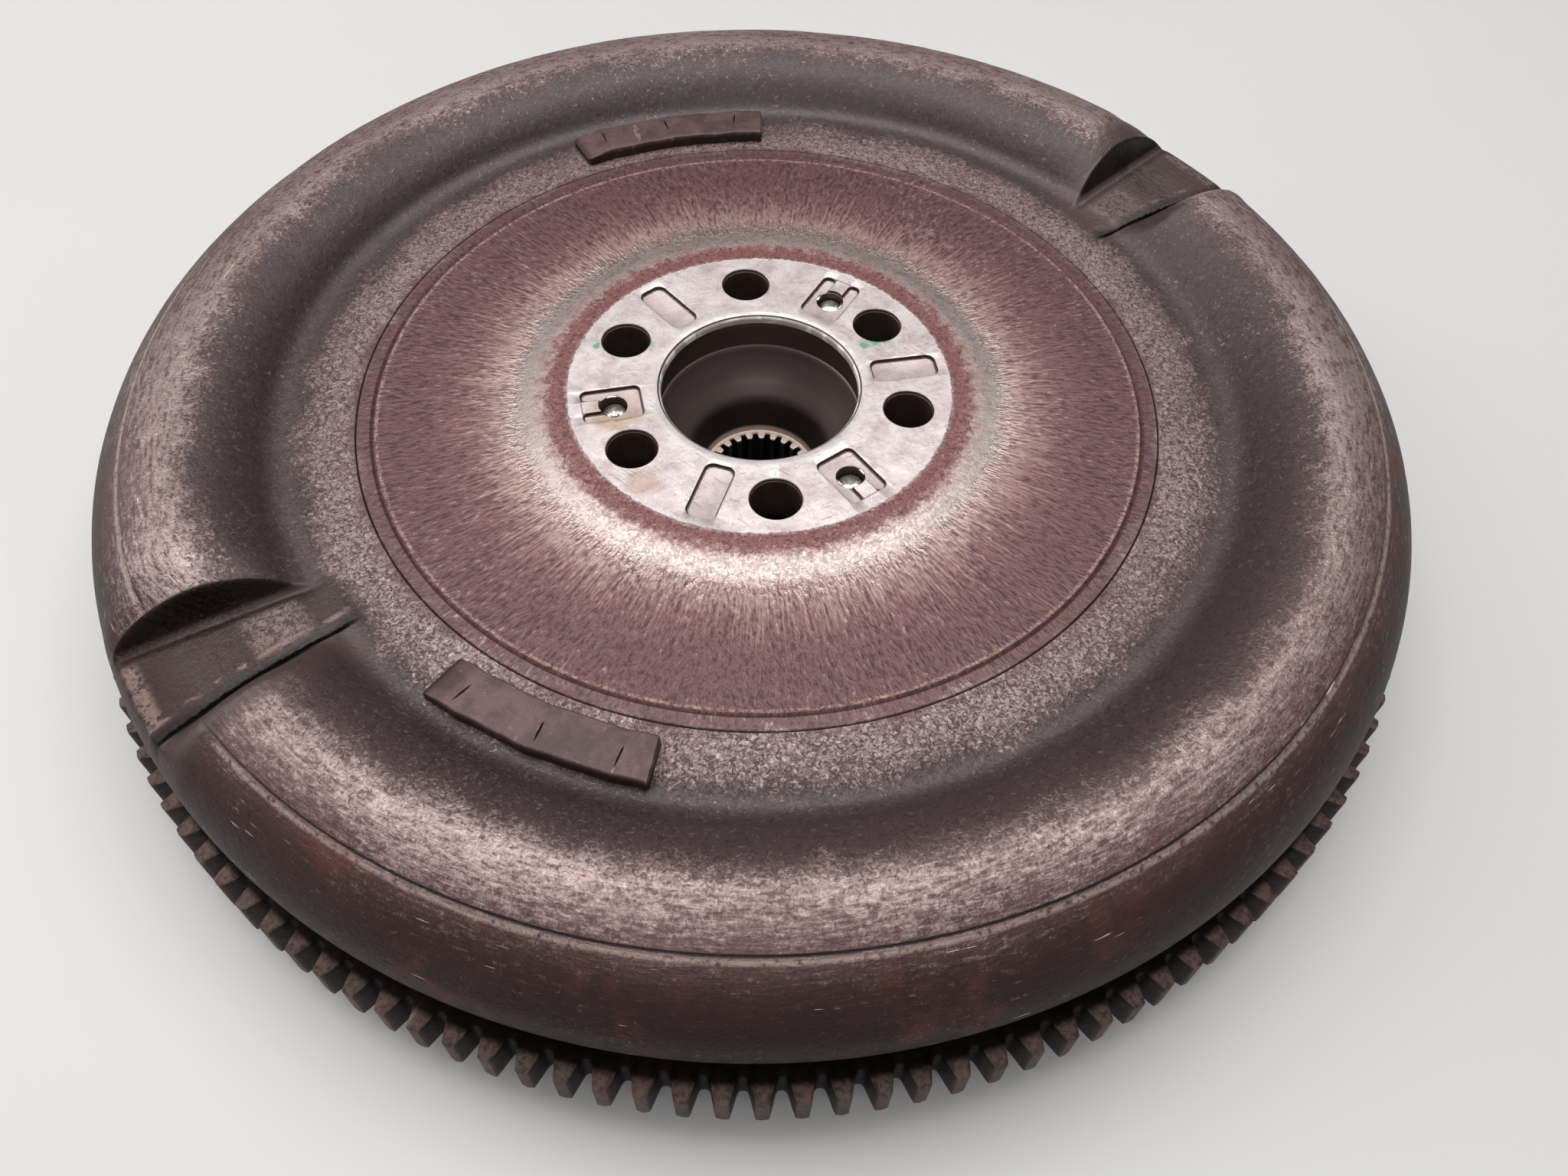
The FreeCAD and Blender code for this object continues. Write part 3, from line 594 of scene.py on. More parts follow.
def weight(number, middle, span, blended):
    """A curved strip, bent a little at each slit, with soft edges and one end run into the disc."""
    start = middle - span / 2
    bends = [0.0, *(slit[0] for slit in SLITS), 1.0]
    width, height = WEIGHT_R1 - WEIGHT_R0, WEIGHT_TOP_Z - DISC_Z
    base = []
    for outer, upper, first in ((0, 0, 180), (1, 0, 270), (1, 1, 0), (0, 1, 90)):
        radius = 0.5 if upper else 0.12
        for turn in np.radians(np.linspace(first, first + 90, 5)):
            x = outer * width + radius * (1 - 2 * outer + math.cos(turn))
            base.append((x, upper * height + radius * (1 - 2 * upper + math.sin(turn))))
        if outer and upper:
            base += [(width * k, height) for k in (0.8, 0.6, 0.4, 0.2)]
    base = np.array(base)
    rings = []
    for share in np.linspace(0, 1, 141):
        azimuth = start + share * span
        for low, high in zip(bends, bends[1:]):
            if low <= share <= high:
                from_middle = (share - (low + high) / 2) * span
                half_span = (high - low) / 2 * span
                chord = math.cos(math.radians(half_span)) / math.cos(math.radians(from_middle))
        end = min(share, 1 - share) * math.radians(span) * WEIGHT_R1
        tuck = 0.5 * max(0, 1 - end / 0.5) ** 2
        ring = (base - (width / 2, 0)) * (1 - tuck / width * 2, 1 - tuck / height) + (width / 2, 0)
        wander = noise.noise(Vector((azimuth / 4.1, number * 7.0, 0)))
        ring[:, 0] += 0.28 * wander
        ring[:, 1] *= 1 - 0.05 * (1 + noise.noise(Vector((azimuth / 3.0, number * 3.0, 5))))
        near_blend = share if blended < 0 else 1 - share
        if near_blend < 0.16:
            sink = (1 - near_blend / 0.16) ** 2
            ring[:, 1] = ring[:, 1] * (1 - 0.45 * sink)
        r = (WEIGHT_R0 + ring[:, 0]) * min(chord, 1)
        turn = math.radians(azimuth)
        rings.append(np.column_stack((r * math.cos(turn), r * math.sin(turn), DISC_Z + ring[:, 1])))
    grid = ruffled(np.array(rings), 0.07, 3.0, number)
    strip = loft(f"strip_{number}", grid)
    tools = []
    for index, (share, shift, tilt) in enumerate(SLITS):
        c, s = math.cos(math.radians(tilt)), math.sin(math.radians(tilt))
        rings = []
        for z, opening in ((1.0, 0.10), (2.0, 0.26), (2.6, 0.3)):
            outline = []
            for along, half in ((-2.2, 0.0), (-1.2, 0.8), (0.6, 1.0), (2.1, 0.35), (2.3, 0.0)):
                outline.append((along, half * opening))
            loop = np.array(outline + [(a, -h) for a, h in outline[-2:0:-1]])
            rings.append(level(loop @ np.array(((c, s), (-s, c))) + (SLIT_R, 0), z))
        azimuth = start + share * span + shift
        tools.append(loft(f"slit_{number}_{index}", at_angle(np.array(rings), azimuth)))
    return carved(strip, tools)


# ---------------------------------------------------------------- pins


def pins():
    """Three staked pins with worn domed ends, and the burrs raised beside each of them."""
    profile = path(
        (0.02, -2.0), (0.9, -2.03), (1.6, -2.13), (2.1, -2.33), (2.45, -2.65), (2.7, -3.05),
        (2.78, -3.6), (2.85, -6), (2.95, -11.2), (0.02, -11.25),
    )
    parts = []
    for number, angle in enumerate(PIN_ANGLES):
        grid = turned(profile, np.arange(0, 360, 7.5))
        grid[..., 2] += 0.10 * grid[..., 0] * (1 if number != 1 else -1)
        grid[..., 0] += PIN_CIRCLE_R
        parts.append(raw_mesh(f"pin_{number}", at_angle(grid, angle)))
        for side, size in ((1, 1.0), (-1, 0.62)):
            rings = []
            for share in np.linspace(0, 1, 7):
                swell = math.sin(math.pi * (0.12 + 0.76 * share)) * size
                turn = math.radians(90 * side + (share - 0.5) * 42 * side)
                out = np.array((math.cos(turn), math.sin(turn)))
                loop = []
                for a in np.radians(np.arange(0, 360, 45)):
                    r = PIN_R - 0.18 + 0.42 * swell * math.cos(a)
                    z = -COIN_DEPTH + swell * (0.1 + 0.34 * math.sin(a))
                    loop.append((PIN_CIRCLE_R + out[0] * r, out[1] * r, z))
                rings.append(loop)
            parts.append(loft(f"burr_{number}_{side}", at_angle(np.array(rings), angle)))
    return joined("hub_pins", *parts)


# ---------------------------------------------------------------- output hub


def output_hub():
    """Riveted plate, dish, funnel and splined sleeve, with the access holes cut through."""
    count, per_spline = 25, 16
    funnel = path(
        (10.6, -37.3), (10.6, -28.1), (10.9, -28.0), (12.4, -28.0), (12.9, -27.9),
        (13.3, -26.6), (14.2, -24), (15.3, -21), (16.6, -18.8), (18.4, -16.8), (20.0, -14.6),
        (21.1, -12.4), (21.7, -10.9), (21.85, -10.2), (22.1, -9.6), (22.6, -9.3), (23.2, -9.4),
        (23.7, -10.0), (23.9, -10.6),
        (23.6, -13.0), (22.4, -15.6), (20.6, -18.2), (19.0, -20.0), (19.4, -20.5),
        line((20.5, -20.5), (44.2, -20.5), 3.2), (45.4, -20.3), (50.4, -14.1), (51.2, -13.8),
        line((52, -13.8), (65.5, -13.8), 3.4), (66, -14.2), (66, -18.4), (65.5, -18.8),
        line((64, -18.8), (52.4, -18.8), 3.4), (51.6, -19.0), (46.6, -25.2), (45.8, -25.5),
        line((44, -25.5), (20.5, -25.5), 3.4), (18.6, -26.0), (18, -27.2), (18, -36.9),
        (17.4, -37.5), (11.4, -37.5),
    )
    grid = turned(funnel, np.arange(count * per_spline) * 360 / (count * per_spline))
    phase = (np.arange(count * per_spline) % per_spline) / per_spline
    tooth = np.abs(phase - 0.5) * 2
    share = np.clip((tooth - 0.44) / 0.2, 0, 1)
    depth = 1.5 * share * share * (3 - 2 * share)
    r = np.hypot(grid[..., 0], grid[..., 1])
    inside = (r < 12.3) & (grid[..., 2] > -37.45)
    moved = np.where(inside, np.maximum(r, 10.6 + depth[:, None]), r)
    grid[..., 0] *= moved / r
    grid[..., 1] *= moved / r
    levels = ((-30, 9.9), (-25.7, 9.9), (-25.2, 9.6), (-20.8, 9.6), (-20.3, 9.9), (-15.5, 9.9))
    tools = []
    for number, angle in enumerate(BOLT_ANGLES):
        tools.append(round_tool(f"access_{number}", BOLT_CIRCLE_R, angle, levels, 6))
    return carved(solid("hub_blank", grid), tools)


# ---------------------------------------------------------------- arc springs


def helix(name, start, span, coil_r, wire_r, turns, hand):
    """One arc spring, with its end coils closed up, as a tube swept along its helix."""
    per_turn = 22
    count = int(turns * per_turn)
    share = np.linspace(0, 1, count + 1)
    closed = 2.2 / turns
    travel = np.interp(share, (0, closed, 1 - closed, 1), (0, closed * 0.62, 1 - closed * 0.62, 1))
    azimuth = np.radians(start + span * travel)
    phase = 2 * math.pi * turns * share * hand
    r = CHANNEL_R + coil_r * np.cos(phase)
    centre = np.column_stack((r * np.cos(azimuth), r * np.sin(azimuth), CHANNEL_Z + coil_r * np.sin(phase)))
    ahead = np.gradient(centre, axis=0)
    ahead /= np.linalg.norm(ahead, axis=1)[:, None]
    cos_phase = np.cos(phase)
    outward = np.column_stack((cos_phase * np.cos(azimuth), cos_phase * np.sin(azimuth), np.sin(phase)))
    outward -= (outward * ahead).sum(1)[:, None] * ahead
    outward /= np.linalg.norm(outward, axis=1)[:, None]
    aside = np.cross(ahead, outward)
    turn = np.radians(np.arange(0, 360, 36))[None, :, None]
    around = np.cos(turn) * outward[:, None] + np.sin(turn) * aside[:, None]
    return loft(name, centre[:, None] + wire_r * around)


# ---------------------------------------------------------------- materials


def colour(red, green, blue):
    """Shader colour from 0 to 255 display values."""
    linear = []
    for value in (red, green, blue):
        share = value / 255
        linear.append(share / 12.92 if share <= 0.04045 else ((share + 0.055) / 1.055) ** 2.4)
    return (*linear, 1.0)


class Paint:
    """The nodes of one material, in millimetres and in the part's own coordinates."""

    def __init__(self, name):
        self.material = bpy.data.materials.new(name)
        self.material.use_nodes = True
        self.tree = self.material.node_tree
        self.tree.nodes.clear()
        self.shader = self.tree.nodes.new("ShaderNodeBsdfPrincipled")
        output = self.tree.nodes.new("ShaderNodeOutputMaterial")
        self.tree.links.new(self.shader.outputs["BSDF"], output.inputs["Surface"])
        place = self.tree.nodes.new("ShaderNodeTexCoord").outputs["Object"]
        self.at = self.vector("SCALE", place, 1000.0)
        split = self.node("ShaderNodeSeparateXYZ", self.at)
        self.x, self.y, self.z = split.outputs
        flat = self.node("ShaderNodeCombineXYZ", self.x, self.y, 0.0).outputs[0]
        self.r = self.vector("LENGTH", flat)
        self.way = self.vector("NORMALIZE", flat)

    def put(self, socket, value):
        if isinstance(value, bpy.types.NodeSocket):
            self.tree.links.new(value, socket)
        else:
            socket.default_value = value

    def node(self, kind, *values, **settings):
        made = self.tree.nodes.new(kind)
        for key, value in settings.items():
            setattr(made, key, value)
        for socket, value in zip(made.inputs, values):
            if value is not None:
                self.put(socket, value)
        return made

    def math(self, operation, *values, clamp=False):
        return self.node("ShaderNodeMath", *values, operation=operation, use_clamp=clamp).outputs[0]

    def vector(self, operation, first, second=None):
        values = (first, None, None, second) if operation == "SCALE" else (first, second)
        made = self.node("ShaderNodeVectorMath", *values, operation=operation)
        return made.outputs["Value" if operation in ("LENGTH", "DOT_PRODUCT", "DISTANCE") else "Vector"]

    def step(self, value, start, end):
        """Smoothly 0 before start and 1 after end; the other way round if end is lower."""
        limits = (start, end, 0.0, 1.0) if start < end else (end, start, 1.0, 0.0)
        made = self.node("ShaderNodeMapRange", value, *limits, interpolation_type="SMOOTHSTEP")
        return made.outputs["Result"]

    def band(self, value, low, high, soft):
        """1 between low and high, fading over the soft distance."""
        rise, fall = self.step(value, low - soft, low + soft), self.step(value, high + soft, high - soft)
        return self.times(rise, fall)

    def noise(self, scale, detail=3.0, rough=0.55, where=None, distortion=0.0):
        """Noise of about one lump for each 1/scale millimetres."""
        made = self.node("ShaderNodeTexNoise", where or self.at, None, scale, detail, rough)
        made.inputs["Distortion"].default_value = distortion
        return made.outputs["Fac"]

    def streaks(self, count, length, offset=0.0, lift=0.15):
        """Where to look up a noise that is drawn out along the radius, or down the rim."""
        drawn = self.vector("SCALE", self.way, count)
        along = self.math("MULTIPLY_ADD", self.r, 1.0 / length, offset)
        down = self.math("MULTIPLY", self.z, lift)
        shift = self.node("ShaderNodeCombineXYZ", 0.0, 0.0, self.math("ADD", along, down)).outputs[0]
        return self.vector("ADD", drawn, shift)

    def rings(self, count, width):
        """Where to look up a noise that is drawn out round the axis."""
        drawn = self.vector("SCALE", self.way, count)
        across = self.math("DIVIDE", self.math("SUBTRACT", self.r, self.z), width)
        shift = self.node("ShaderNodeCombineXYZ", 0.0, 0.0, across).outputs[0]
        return self.vector("ADD", drawn, shift)

    def scratches(self, angle, length, width, start, end):
        """Thin straight lines at an angle."""
        turn = math.radians(angle)
        along = self.vector("DOT_PRODUCT", self.at, (math.cos(turn) / length, math.sin(turn) / length, 0.0))
        across = self.vector("DOT_PRODUCT", self.at, (-math.sin(turn) / width, math.cos(turn) / width, 0.0))
        where = self.node("ShaderNodeCombineXYZ", along, across, self.times(self.z, 0.5)).outputs[0]
        return self.step(self.noise(1.0, 2.0, 0.5, where), start, end)

    def mix(self, share, under, over):
        """The over colour laid on the under colour, each a socket or 0 to 255 display values."""
        made = self.node("ShaderNodeMix", share, data_type="RGBA")
        for socket, value in zip([s for s in made.inputs if s.type == "RGBA"], (under, over)):
            self.put(socket, colour(*value) if isinstance(value, tuple) else value)
        return next(s for s in made.outputs if s.type == "RGBA")

    def chain(self, operation, *values):
        result = values[0]
        for value in values[1:]:
            result = self.math(operation, result, value)
        return result

    def times(self, *values):
        return self.chain("MULTIPLY", *values)

    def plus(self, *values):
        return self.chain("ADD", *values)

    def minus(self, *values):
        return self.chain("SUBTRACT", *values)

    def most(self, *values):
        return self.chain("MAXIMUM", *values)

    def swing(self, noise, *sizes):
        """A noise made to vary about zero, times some sizes."""
        return self.times(self.minus(noise, 0.5), *sizes)

    def blend(self, share, low, high):
        """A number that goes from low to high."""
        return self.math("MULTIPLY_ADD", share, self.minus(high, low), low)

    def ramp(self, value, stops, low, high):
        """Colour or amount that depends on a number, from (position, colour or amount) stops."""
        share = self.math("DIVIDE", self.minus(value, low), high - low)
        made = self.tree.nodes.new("ShaderNodeValToRGB")
        self.put(made.inputs["Fac"], share)
        elements = made.color_ramp.elements
        while len(elements) < len(stops):
            elements.new(0.5)
        for element, (position, tint) in zip(elements, sorted(stops)):
            element.position = (position - low) / (high - low)
            element.color = colour(*tint) if isinstance(tint, tuple) else (tint, tint, tint, 1.0)
        return made.outputs["Color"]

    def spot(self, r, angle, size, soft):
        """1 inside a small ragged blot at a place on the crank face."""
        turn = math.radians(angle)
        away = self.vector("DISTANCE", self.at, (r * math.cos(turn), r * math.sin(turn), 0.0))
        ragged = self.plus(away, self.times(self.noise(0.9, 4.0, 0.7), 3.0))
        return self.step(ragged, size + 1.5 + soft, size + 1.5 - soft)

    def box_distance(self, angle, length, width, corner, shift=0.0):
        """Distance outside a struck pocket: a round-cornered rectangle that lies along the radius."""
        turn = math.radians(angle)
        along = self.vector("DOT_PRODUCT", self.at, (math.cos(turn), math.sin(turn), 0.0))
        across = self.vector("DOT_PRODUCT", self.at, (-math.sin(turn), math.cos(turn), 0.0))
        u = self.math("ABSOLUTE", self.minus(along, COIN_MID_R + shift))
        u = self.minus(u, length / 2 - corner)
        v = self.minus(self.math("ABSOLUTE", across), width / 2 - corner)
        outside = self.node("ShaderNodeCombineXYZ", self.most(u, 0.0), self.most(v, 0.0), 0.0).outputs[0]
        inside = self.math("MINIMUM", self.most(u, v), 0.0)
        return self.minus(self.plus(self.vector("LENGTH", outside), inside), corner)

    def finish(self, base, metallic, roughness, *bumps):
        """Set the shader up. A bump is a height from 0 to 1 and its depth in millimetres."""
        for name, value in (("Base Color", base), ("Metallic", metallic), ("Roughness", roughness)):
            self.put(self.shader.inputs[name], value)
        normal = None
        for height, depth in bumps:
            bump = self.node("ShaderNodeBump")
            self.put(bump.inputs["Height"], height)
            bump.inputs["Strength"].default_value = 1.0
            bump.inputs["Distance"].default_value = depth * MM
            if normal:
                self.put(bump.inputs["Normal"], normal)
            normal = bump.outputs["Normal"]
        if normal:
            self.put(self.shader.inputs["Normal"], normal)
        return self.material


class Coats:
    """A colour, and the tints laid over it one after another."""

    def __init__(self, paint, tint):
        self.paint, self.tint = paint, tint

    def add(self, tint, *shares):
        """Lay a tint over the colour, as far as the product of the shares."""
        self.tint = self.paint.mix(self.paint.times(*shares), self.tint, tint)


def shell_steel():
    p = Paint("shell_steel")
    ragged = p.noise(0.10, 5.0, 0.62)
    fine = p.noise(0.9, 4.0, 0.65)
    grain = p.noise(1.1, 3.0, 0.6, distortion=1.2)
    slow = p.noise(0.022, 3.0, 0.5)
    leather = p.noise(1.0, 3.0, 0.6, p.streaks(88.0, 1.9))
    radial = p.noise(1.0, 3.0, 0.6, p.streaks(120.0, 16.0, 4.0))
    drawn = p.noise(1.0, 4.0, 0.62, p.rings(34.0, 0.9))
    # How far out the surface is, measured along the sheet once it bends down over the channel.
    fall = p.math("ARCTAN2", p.minus(p.r, CHANNEL_R), p.minus(p.z, CHANNEL_Z))
    over = p.math("MULTIPLY_ADD", fall, CREST_SKIN, CHANNEL_R)
    past = p.math("GREATER_THAN", p.r, CHANNEL_R)
    out = p.blend(past, p.r, over)
    wander = p.swing(ragged, p.step(p.r, 36.0, 98.0), 11.0)
    worn_away = p.swing(p.noise(0.4, 5.0, 0.7), p.band(p.r, 43.5, 60.0, 1.5), 9.0)
    edge = p.swing(fine, 3.2)
    where = p.plus(out, wander, worn_away, edge)

    tints = (
        (0, (206, 194, 192)), (40.7, (200, 186, 184)), (41.5, (124, 78, 76)),
        (44.8, (132, 86, 84)), (46.2, (162, 134, 128)), (48.5, (184, 170, 165)),
        (52.0, (168, 155, 150)), (55.0, (148, 120, 115)), (60.0, (120, 84, 83)),
        (72.0, (101, 67, 68)), (81.0, (100, 67, 68)), (84.0, (99, 69, 69)),
        (86.0, (118, 93, 91)), (91.0, (114, 90, 88)), (95.0, (96, 76, 75)), (97.5, (71, 59, 58)),
        (101.0, (68, 57, 58)), (108.0, (67, 55, 56)), (112.5, (74, 60, 59)),
        (115.5, (96, 74, 70)), (118.5, (126, 103, 98)), (121.5, (111, 87, 83)),
        (125.0, (104, 78, 75)), (129.0, (84, 58, 55)), (134.0, (66, 43, 40)),
        (142.0, (46, 28, 26)), (150.0, (38, 22, 21)), (160.0, (26, 15, 14)),
    )
    coats = Coats(p, p.ramp(where, tints, 0.0, 165.0))

    # Grain of the sheet: drawn out along the radius on the disc, round the axis on the crest.
    on_disc = p.band(p.r, 52.0, 84.0, 3.0)
    on_crest = p.band(out, 115.0, 142.0, 6.0)
    lumps = p.blend(on_disc, grain, leather)
    lumps = p.blend(p.times(on_crest, 0.55), lumps, drawn)
    polished = p.band(p.r, 46.0, 51.0, 1.4)
    lump_marks = p.times(p.step(lumps, 0.50, 0.36), p.plus(0.7, p.times(polished, -0.45)))
    coats.add((54, 34, 34), lump_marks)

    # Bare metal shows through as pale flecks: how much, by distance from the axis.
    amounts = (
        (0, 0.0), (41, 0.10), (45, 0.12), (47, 0.45), (53, 0.52), (57, 0.36), (62, 0.18), (70, 0.07),
        (80, 0.07), (84, 0.14), (87, 0.50), (92, 0.44), (96, 0.3), (98, 0.04), (111, 0.03),
        (114.5, 0.30), (118, 0.52), (124, 0.42), (129, 0.28), (134, 0.16), (142, 0.06), (162, 0.0),
    )
    amount = p.ramp(where, amounts, 0.0, 165.0)
    level = p.plus(lumps, p.times(amount, 0.42), p.swing(slow, 0.25))
    flecks = p.step(level, 0.60, 0.84)
    pale = p.mix(slow, (194, 173, 166), (182, 165, 161))
    coats.add(pale, flecks, 0.6)
    ray_length = p.plus(p.step(p.r, 74.0, 50.0), p.swing(ragged, 1.6))
    rays = p.times(p.step(p.plus(radial, p.times(ray_length, 0.30)), 0.62, 0.86), on_disc)
    coats.add((190, 158, 146), rays, 0.4)

    # Dark specks of scale and small rust pits.
    pits = p.noise(0.8, 5.0, 0.7, p.vector("ADD", p.at, (31.0, 7.0, 3.0)))
    coats.add((52, 33, 32), p.times(p.step(pits, 0.60, 0.68), p.step(p.r, 43.0, 60.0)), 0.45)
    rust = p.noise(0.05, 5.0, 0.65, p.vector("ADD", p.at, (3.0, 90.0, 40.0)))
    coats.add((112, 62, 48), p.times(p.step(rust, 0.54, 0.66), p.step(out, 124.0, 132.0)), 0.35)

    # Streaks that run down the rim.
    lower_rim = p.step(out, 128.0, 138.0)
    runs = p.noise(1.0, 4.0, 0.6, p.streaks(30.0, 200.0, 0.0, 0.02))
    coats.add((52, 36, 34), p.times(p.step(runs, 0.52, 0.66), lower_rim), 0.4)
    # Painted glints: sparse light marks drawn out round the axis, on the crest.
    glint_marks = p.noise(1.0, 2.0, 0.5, p.rings(14.0, 0.7))
    coats.add((214, 200, 188), p.step(glint_marks, 0.735, 0.765), p.step(out, 112.0, 124.0))

    # The two fine grooves and the seam.
    inner_groove = p.band(p.r, INNER_GROOVE_R - 0.25, INNER_GROOVE_R + 0.45, 0.2)
    groove_edge = p.band(p.r, INNER_GROOVE_R - 1.2, INNER_GROOVE_R - 0.5, 0.25)
    groove_edge = p.times(groove_edge, p.step(grain, 0.40, 0.6))
    outer_groove = p.band(p.r, OUTER_GROOVE_R - 0.12, OUTER_GROOVE_R + 0.14, 0.08)
    coats.add((60, 38, 38), inner_groove, 0.55)
    coats.add((184, 150, 136), groove_edge, 0.6)
    coats.add((18, 12, 12), outer_groove, 0.95)
    seam_line = p.band(out, SEAM_OUT - 0.1, SEAM_OUT + 0.5, 0.15)
    # The seam's lip: a patchy painted highlight just below the seam line.
    seam_lip_highlight = p.times(p.band(out, SEAM_OUT + 0.9, SEAM_OUT + 1.8, 0.4), p.step(fine, 0.34, 0.52))

    # Stops: charcoal floor with a worn pad. The walls and a strip before the front edge are painted shade,
    # and the black line along the front edge is painted shadow.
    turn = math.radians(STOP_ANGLES[0])
    signed_along = p.vector("DOT_PRODUCT", p.at, (math.cos(turn), math.sin(turn), 0.0))
    signed_across = p.vector("DOT_PRODUCT", p.at, (-math.sin(turn), math.cos(turn), 0.0))
    along, across = p.math("ABSOLUTE", signed_along), p.math("ABSOLUTE", signed_across)
    first, back = p.step(signed_along, -1.0, 1.0), p.step(signed_across, -1.0, 1.0)
    front = p.minus(1.0, back)
    spread = (STOP_HALF_R1 - STOP_HALF_R0) / (STOP_R1 - STOP_R0)
    half = p.math("MULTIPLY_ADD", along, spread, STOP_HALF_R0 - STOP_R0 * spread)
    beyond = p.minus(across, half)
    up = p.most(p.plus(p.z, -STOP_FLOOR_Z), 0.0)
    past_wall = p.minus(beyond, p.times(up, 1 / STOP_STEEPNESS))
    reach = p.times(p.step(along, 93.0, 99.0), p.step(out, 150.0, 138.0))
    away_from_stop = p.minus(1.0, p.times(p.step(past_wall, 2.5, 0.5), reach))
    coats.add((26, 17, 16), seam_line, away_from_stop, 0.85)
    # Painted highlight along the seam's lip.
    coats.add((188, 166, 156), seam_lip_highlight, away_from_stop, 0.6)
    # A charcoal tint on the channel beside each stop; its width differs by stop and by side.
    dark_reach = p.plus(7.5, p.times(first, -5.0), p.times(back, -9.0), p.times(first, back, 11.0))
    ragged_wall = p.plus(past_wall, p.swing(ragged, 8.0))
    near = p.times(p.step(p.minus(ragged_wall, dark_reach), 1.8, -1.8), reach)
    coats.add(p.mix(fine, (58, 47, 46), (84, 68, 65)), near, 0.85)
    wall_shade = p.times(p.step(past_wall, 0.5, 0.15), p.step(up, 0.25, 0.9), reach)
    floor = p.times(p.step(beyond, 0.3, -0.2), p.step(up, 1.2, 0.6), reach)
    # The channel's own height over the floor says how far out from the wall its shadow falls.
    chord = p.minus(p.r, CHANNEL_R)
    crest = p.math("SQRT", p.most(p.minus(CREST_SKIN**2, p.times(chord, chord)), 0.0))
    crest = p.most(p.plus(crest, CHANNEL_Z - STOP_FLOOR_Z), 0.0)
    edge_line = p.plus(beyond, p.times(crest, 0.12), p.swing(fine, 0.8))
    gutter = p.times(p.step(edge_line, -1.3, -0.8), front, floor)
    shade = p.times(p.step(edge_line, -3.4, -1.6), front, floor)
    patchy = p.step(p.noise(0.35, 4.0, 0.65), 0.44, 0.6)
    worn_line = p.times(p.band(edge_line, -4.2, -3.2, 0.4), front, patchy)
    worn_end = p.band(along, 132.5, 135.5, 0.9)
    worn_end = p.times(worn_end, p.step(fine, 0.38, 0.56), p.step(beyond, -3.0, -4.5))
    patchy = p.step(p.plus(grain, p.times(fine, 0.6)), 0.66, 0.95)
    worn_patch = p.times(p.band(along, 103.0, 114.0, 1.5), patchy, p.step(beyond, -2.0, -4.5))
    worn = p.times(p.most(worn_line, p.most(worn_end, worn_patch)), floor)
    pad_tint = p.mix(p.times(first, 0.8), p.mix(fine, (46, 36, 34), (68, 54, 51)), (92, 79, 77))
    coats.add(pad_tint, floor, 0.95)
    coats.add((146, 122, 115), worn, 0.6)
    # Painted shade before the front edge, then the black line of painted shadow in the gutter.
    coats.add((26, 18, 18), shade, 0.6)
    coats.add((8, 5, 5), gutter)
    # Painted shade: the stop walls are near black.
    coats.add(p.mix(fine, (26, 17, 16), (48, 33, 31)), wall_shade)

    # Crank face: machined, with light scratches and a few stains.
    face_edge = p.plus(p.r, p.swing(p.noise(0.7, 4.0, 0.7), 1.6))
    face = p.step(face_edge, 41.3, 40.9)
    swirl = p.noise(0.12, 5.0, 0.7)
    face_coats = Coats(p, p.mix(p.step(swirl, 0.35, 0.7), (226, 216, 214), (192, 174, 172)))
    face_coats.add((158, 136, 132), p.step(p.noise(0.3, 6.0, 0.75), 0.54, 0.66), 0.4)
    face_coats.add((222, 216, 212), p.step(p.r, 24.6, 23.8), 0.45)
    marks = p.most(p.scratches(20, 9.0, 0.35, 0.64, 0.69), p.scratches(-52, 12.0, 0.4, 0.66, 0.71))
    face_coats.add((238, 232, 228), marks, 0.6)
    dark_marks = p.most(p.scratches(75, 8.0, 0.3, 0.67, 0.71), p.scratches(140, 6.0, 0.3, 0.68, 0.72))
    face_coats.add((116, 94, 90), dark_marks, 0.55)
    face_coats.add((176, 144, 104), p.spot(31.5, 130.0, 5.4, 1.6), 0.6)
    face_coats.add((160, 126, 100), p.spot(36.5, 164.0, 3.6, 1.6), 0.5)
    for blot_r, blot_angle, size in BLOTS:
        face_coats.add((92, 168, 140), p.spot(blot_r, blot_angle, size, 0.4), 0.85)
    face_coats.add((232, 232, 228), p.spot(25.6, 211.0, 1.2, 0.4), 0.8)
    coats.add(face_coats.tint, face)

    # The struck pockets: a dull floor, and a dark line where it meets the wall.
    pockets = [p.box_distance(angle, *COIN) for angle in COIN_ANGLES]
    for angle in PIN_ANGLES:
        tongue = p.times(p.box_distance(angle, *TONGUE), -1.0)
        pockets.append(p.most(p.box_distance(angle, *FORK), tongue))
    pocket = p.chain("MINIMUM", *pockets)
    sunk = p.times(p.step(pocket, 0.1, -0.1), p.step(p.z, -0.3, -0.6))
    line = p.band(pocket, -0.4, 0.1, 0.1)
    coats.add(p.mix(fine, (150, 128, 124), (196, 178, 174)), sunk, 0.5)
    coats.add((52, 34, 33), line, p.step(fine, 0.2, 0.45), 0.85)

    # Inside the pilot bore, the pockets and the drilled holes.
    on_face = p.times(p.step(p.r, 41.0, 40.5), p.step(p.r, 22.3, 22.6))
    above_floor = p.step(p.z, -COIN_DEPTH + 0.02, -COIN_DEPTH + 0.16)
    sides = p.times(p.step(p.z, -0.05, -0.15), above_floor, on_face)
    coats.add((52, 34, 33), sides, 0.9)
    below = p.times(p.step(p.z, -COIN_DEPTH - 0.08, -COIN_DEPTH - 0.2), p.step(p.r, 41.0, 40.5))
    in_bore = p.step(p.r, 22.5, 22.3)
    land = p.times(in_bore, p.step(p.z, -2.1, -2.0), p.step(p.z, -0.3, -0.4))
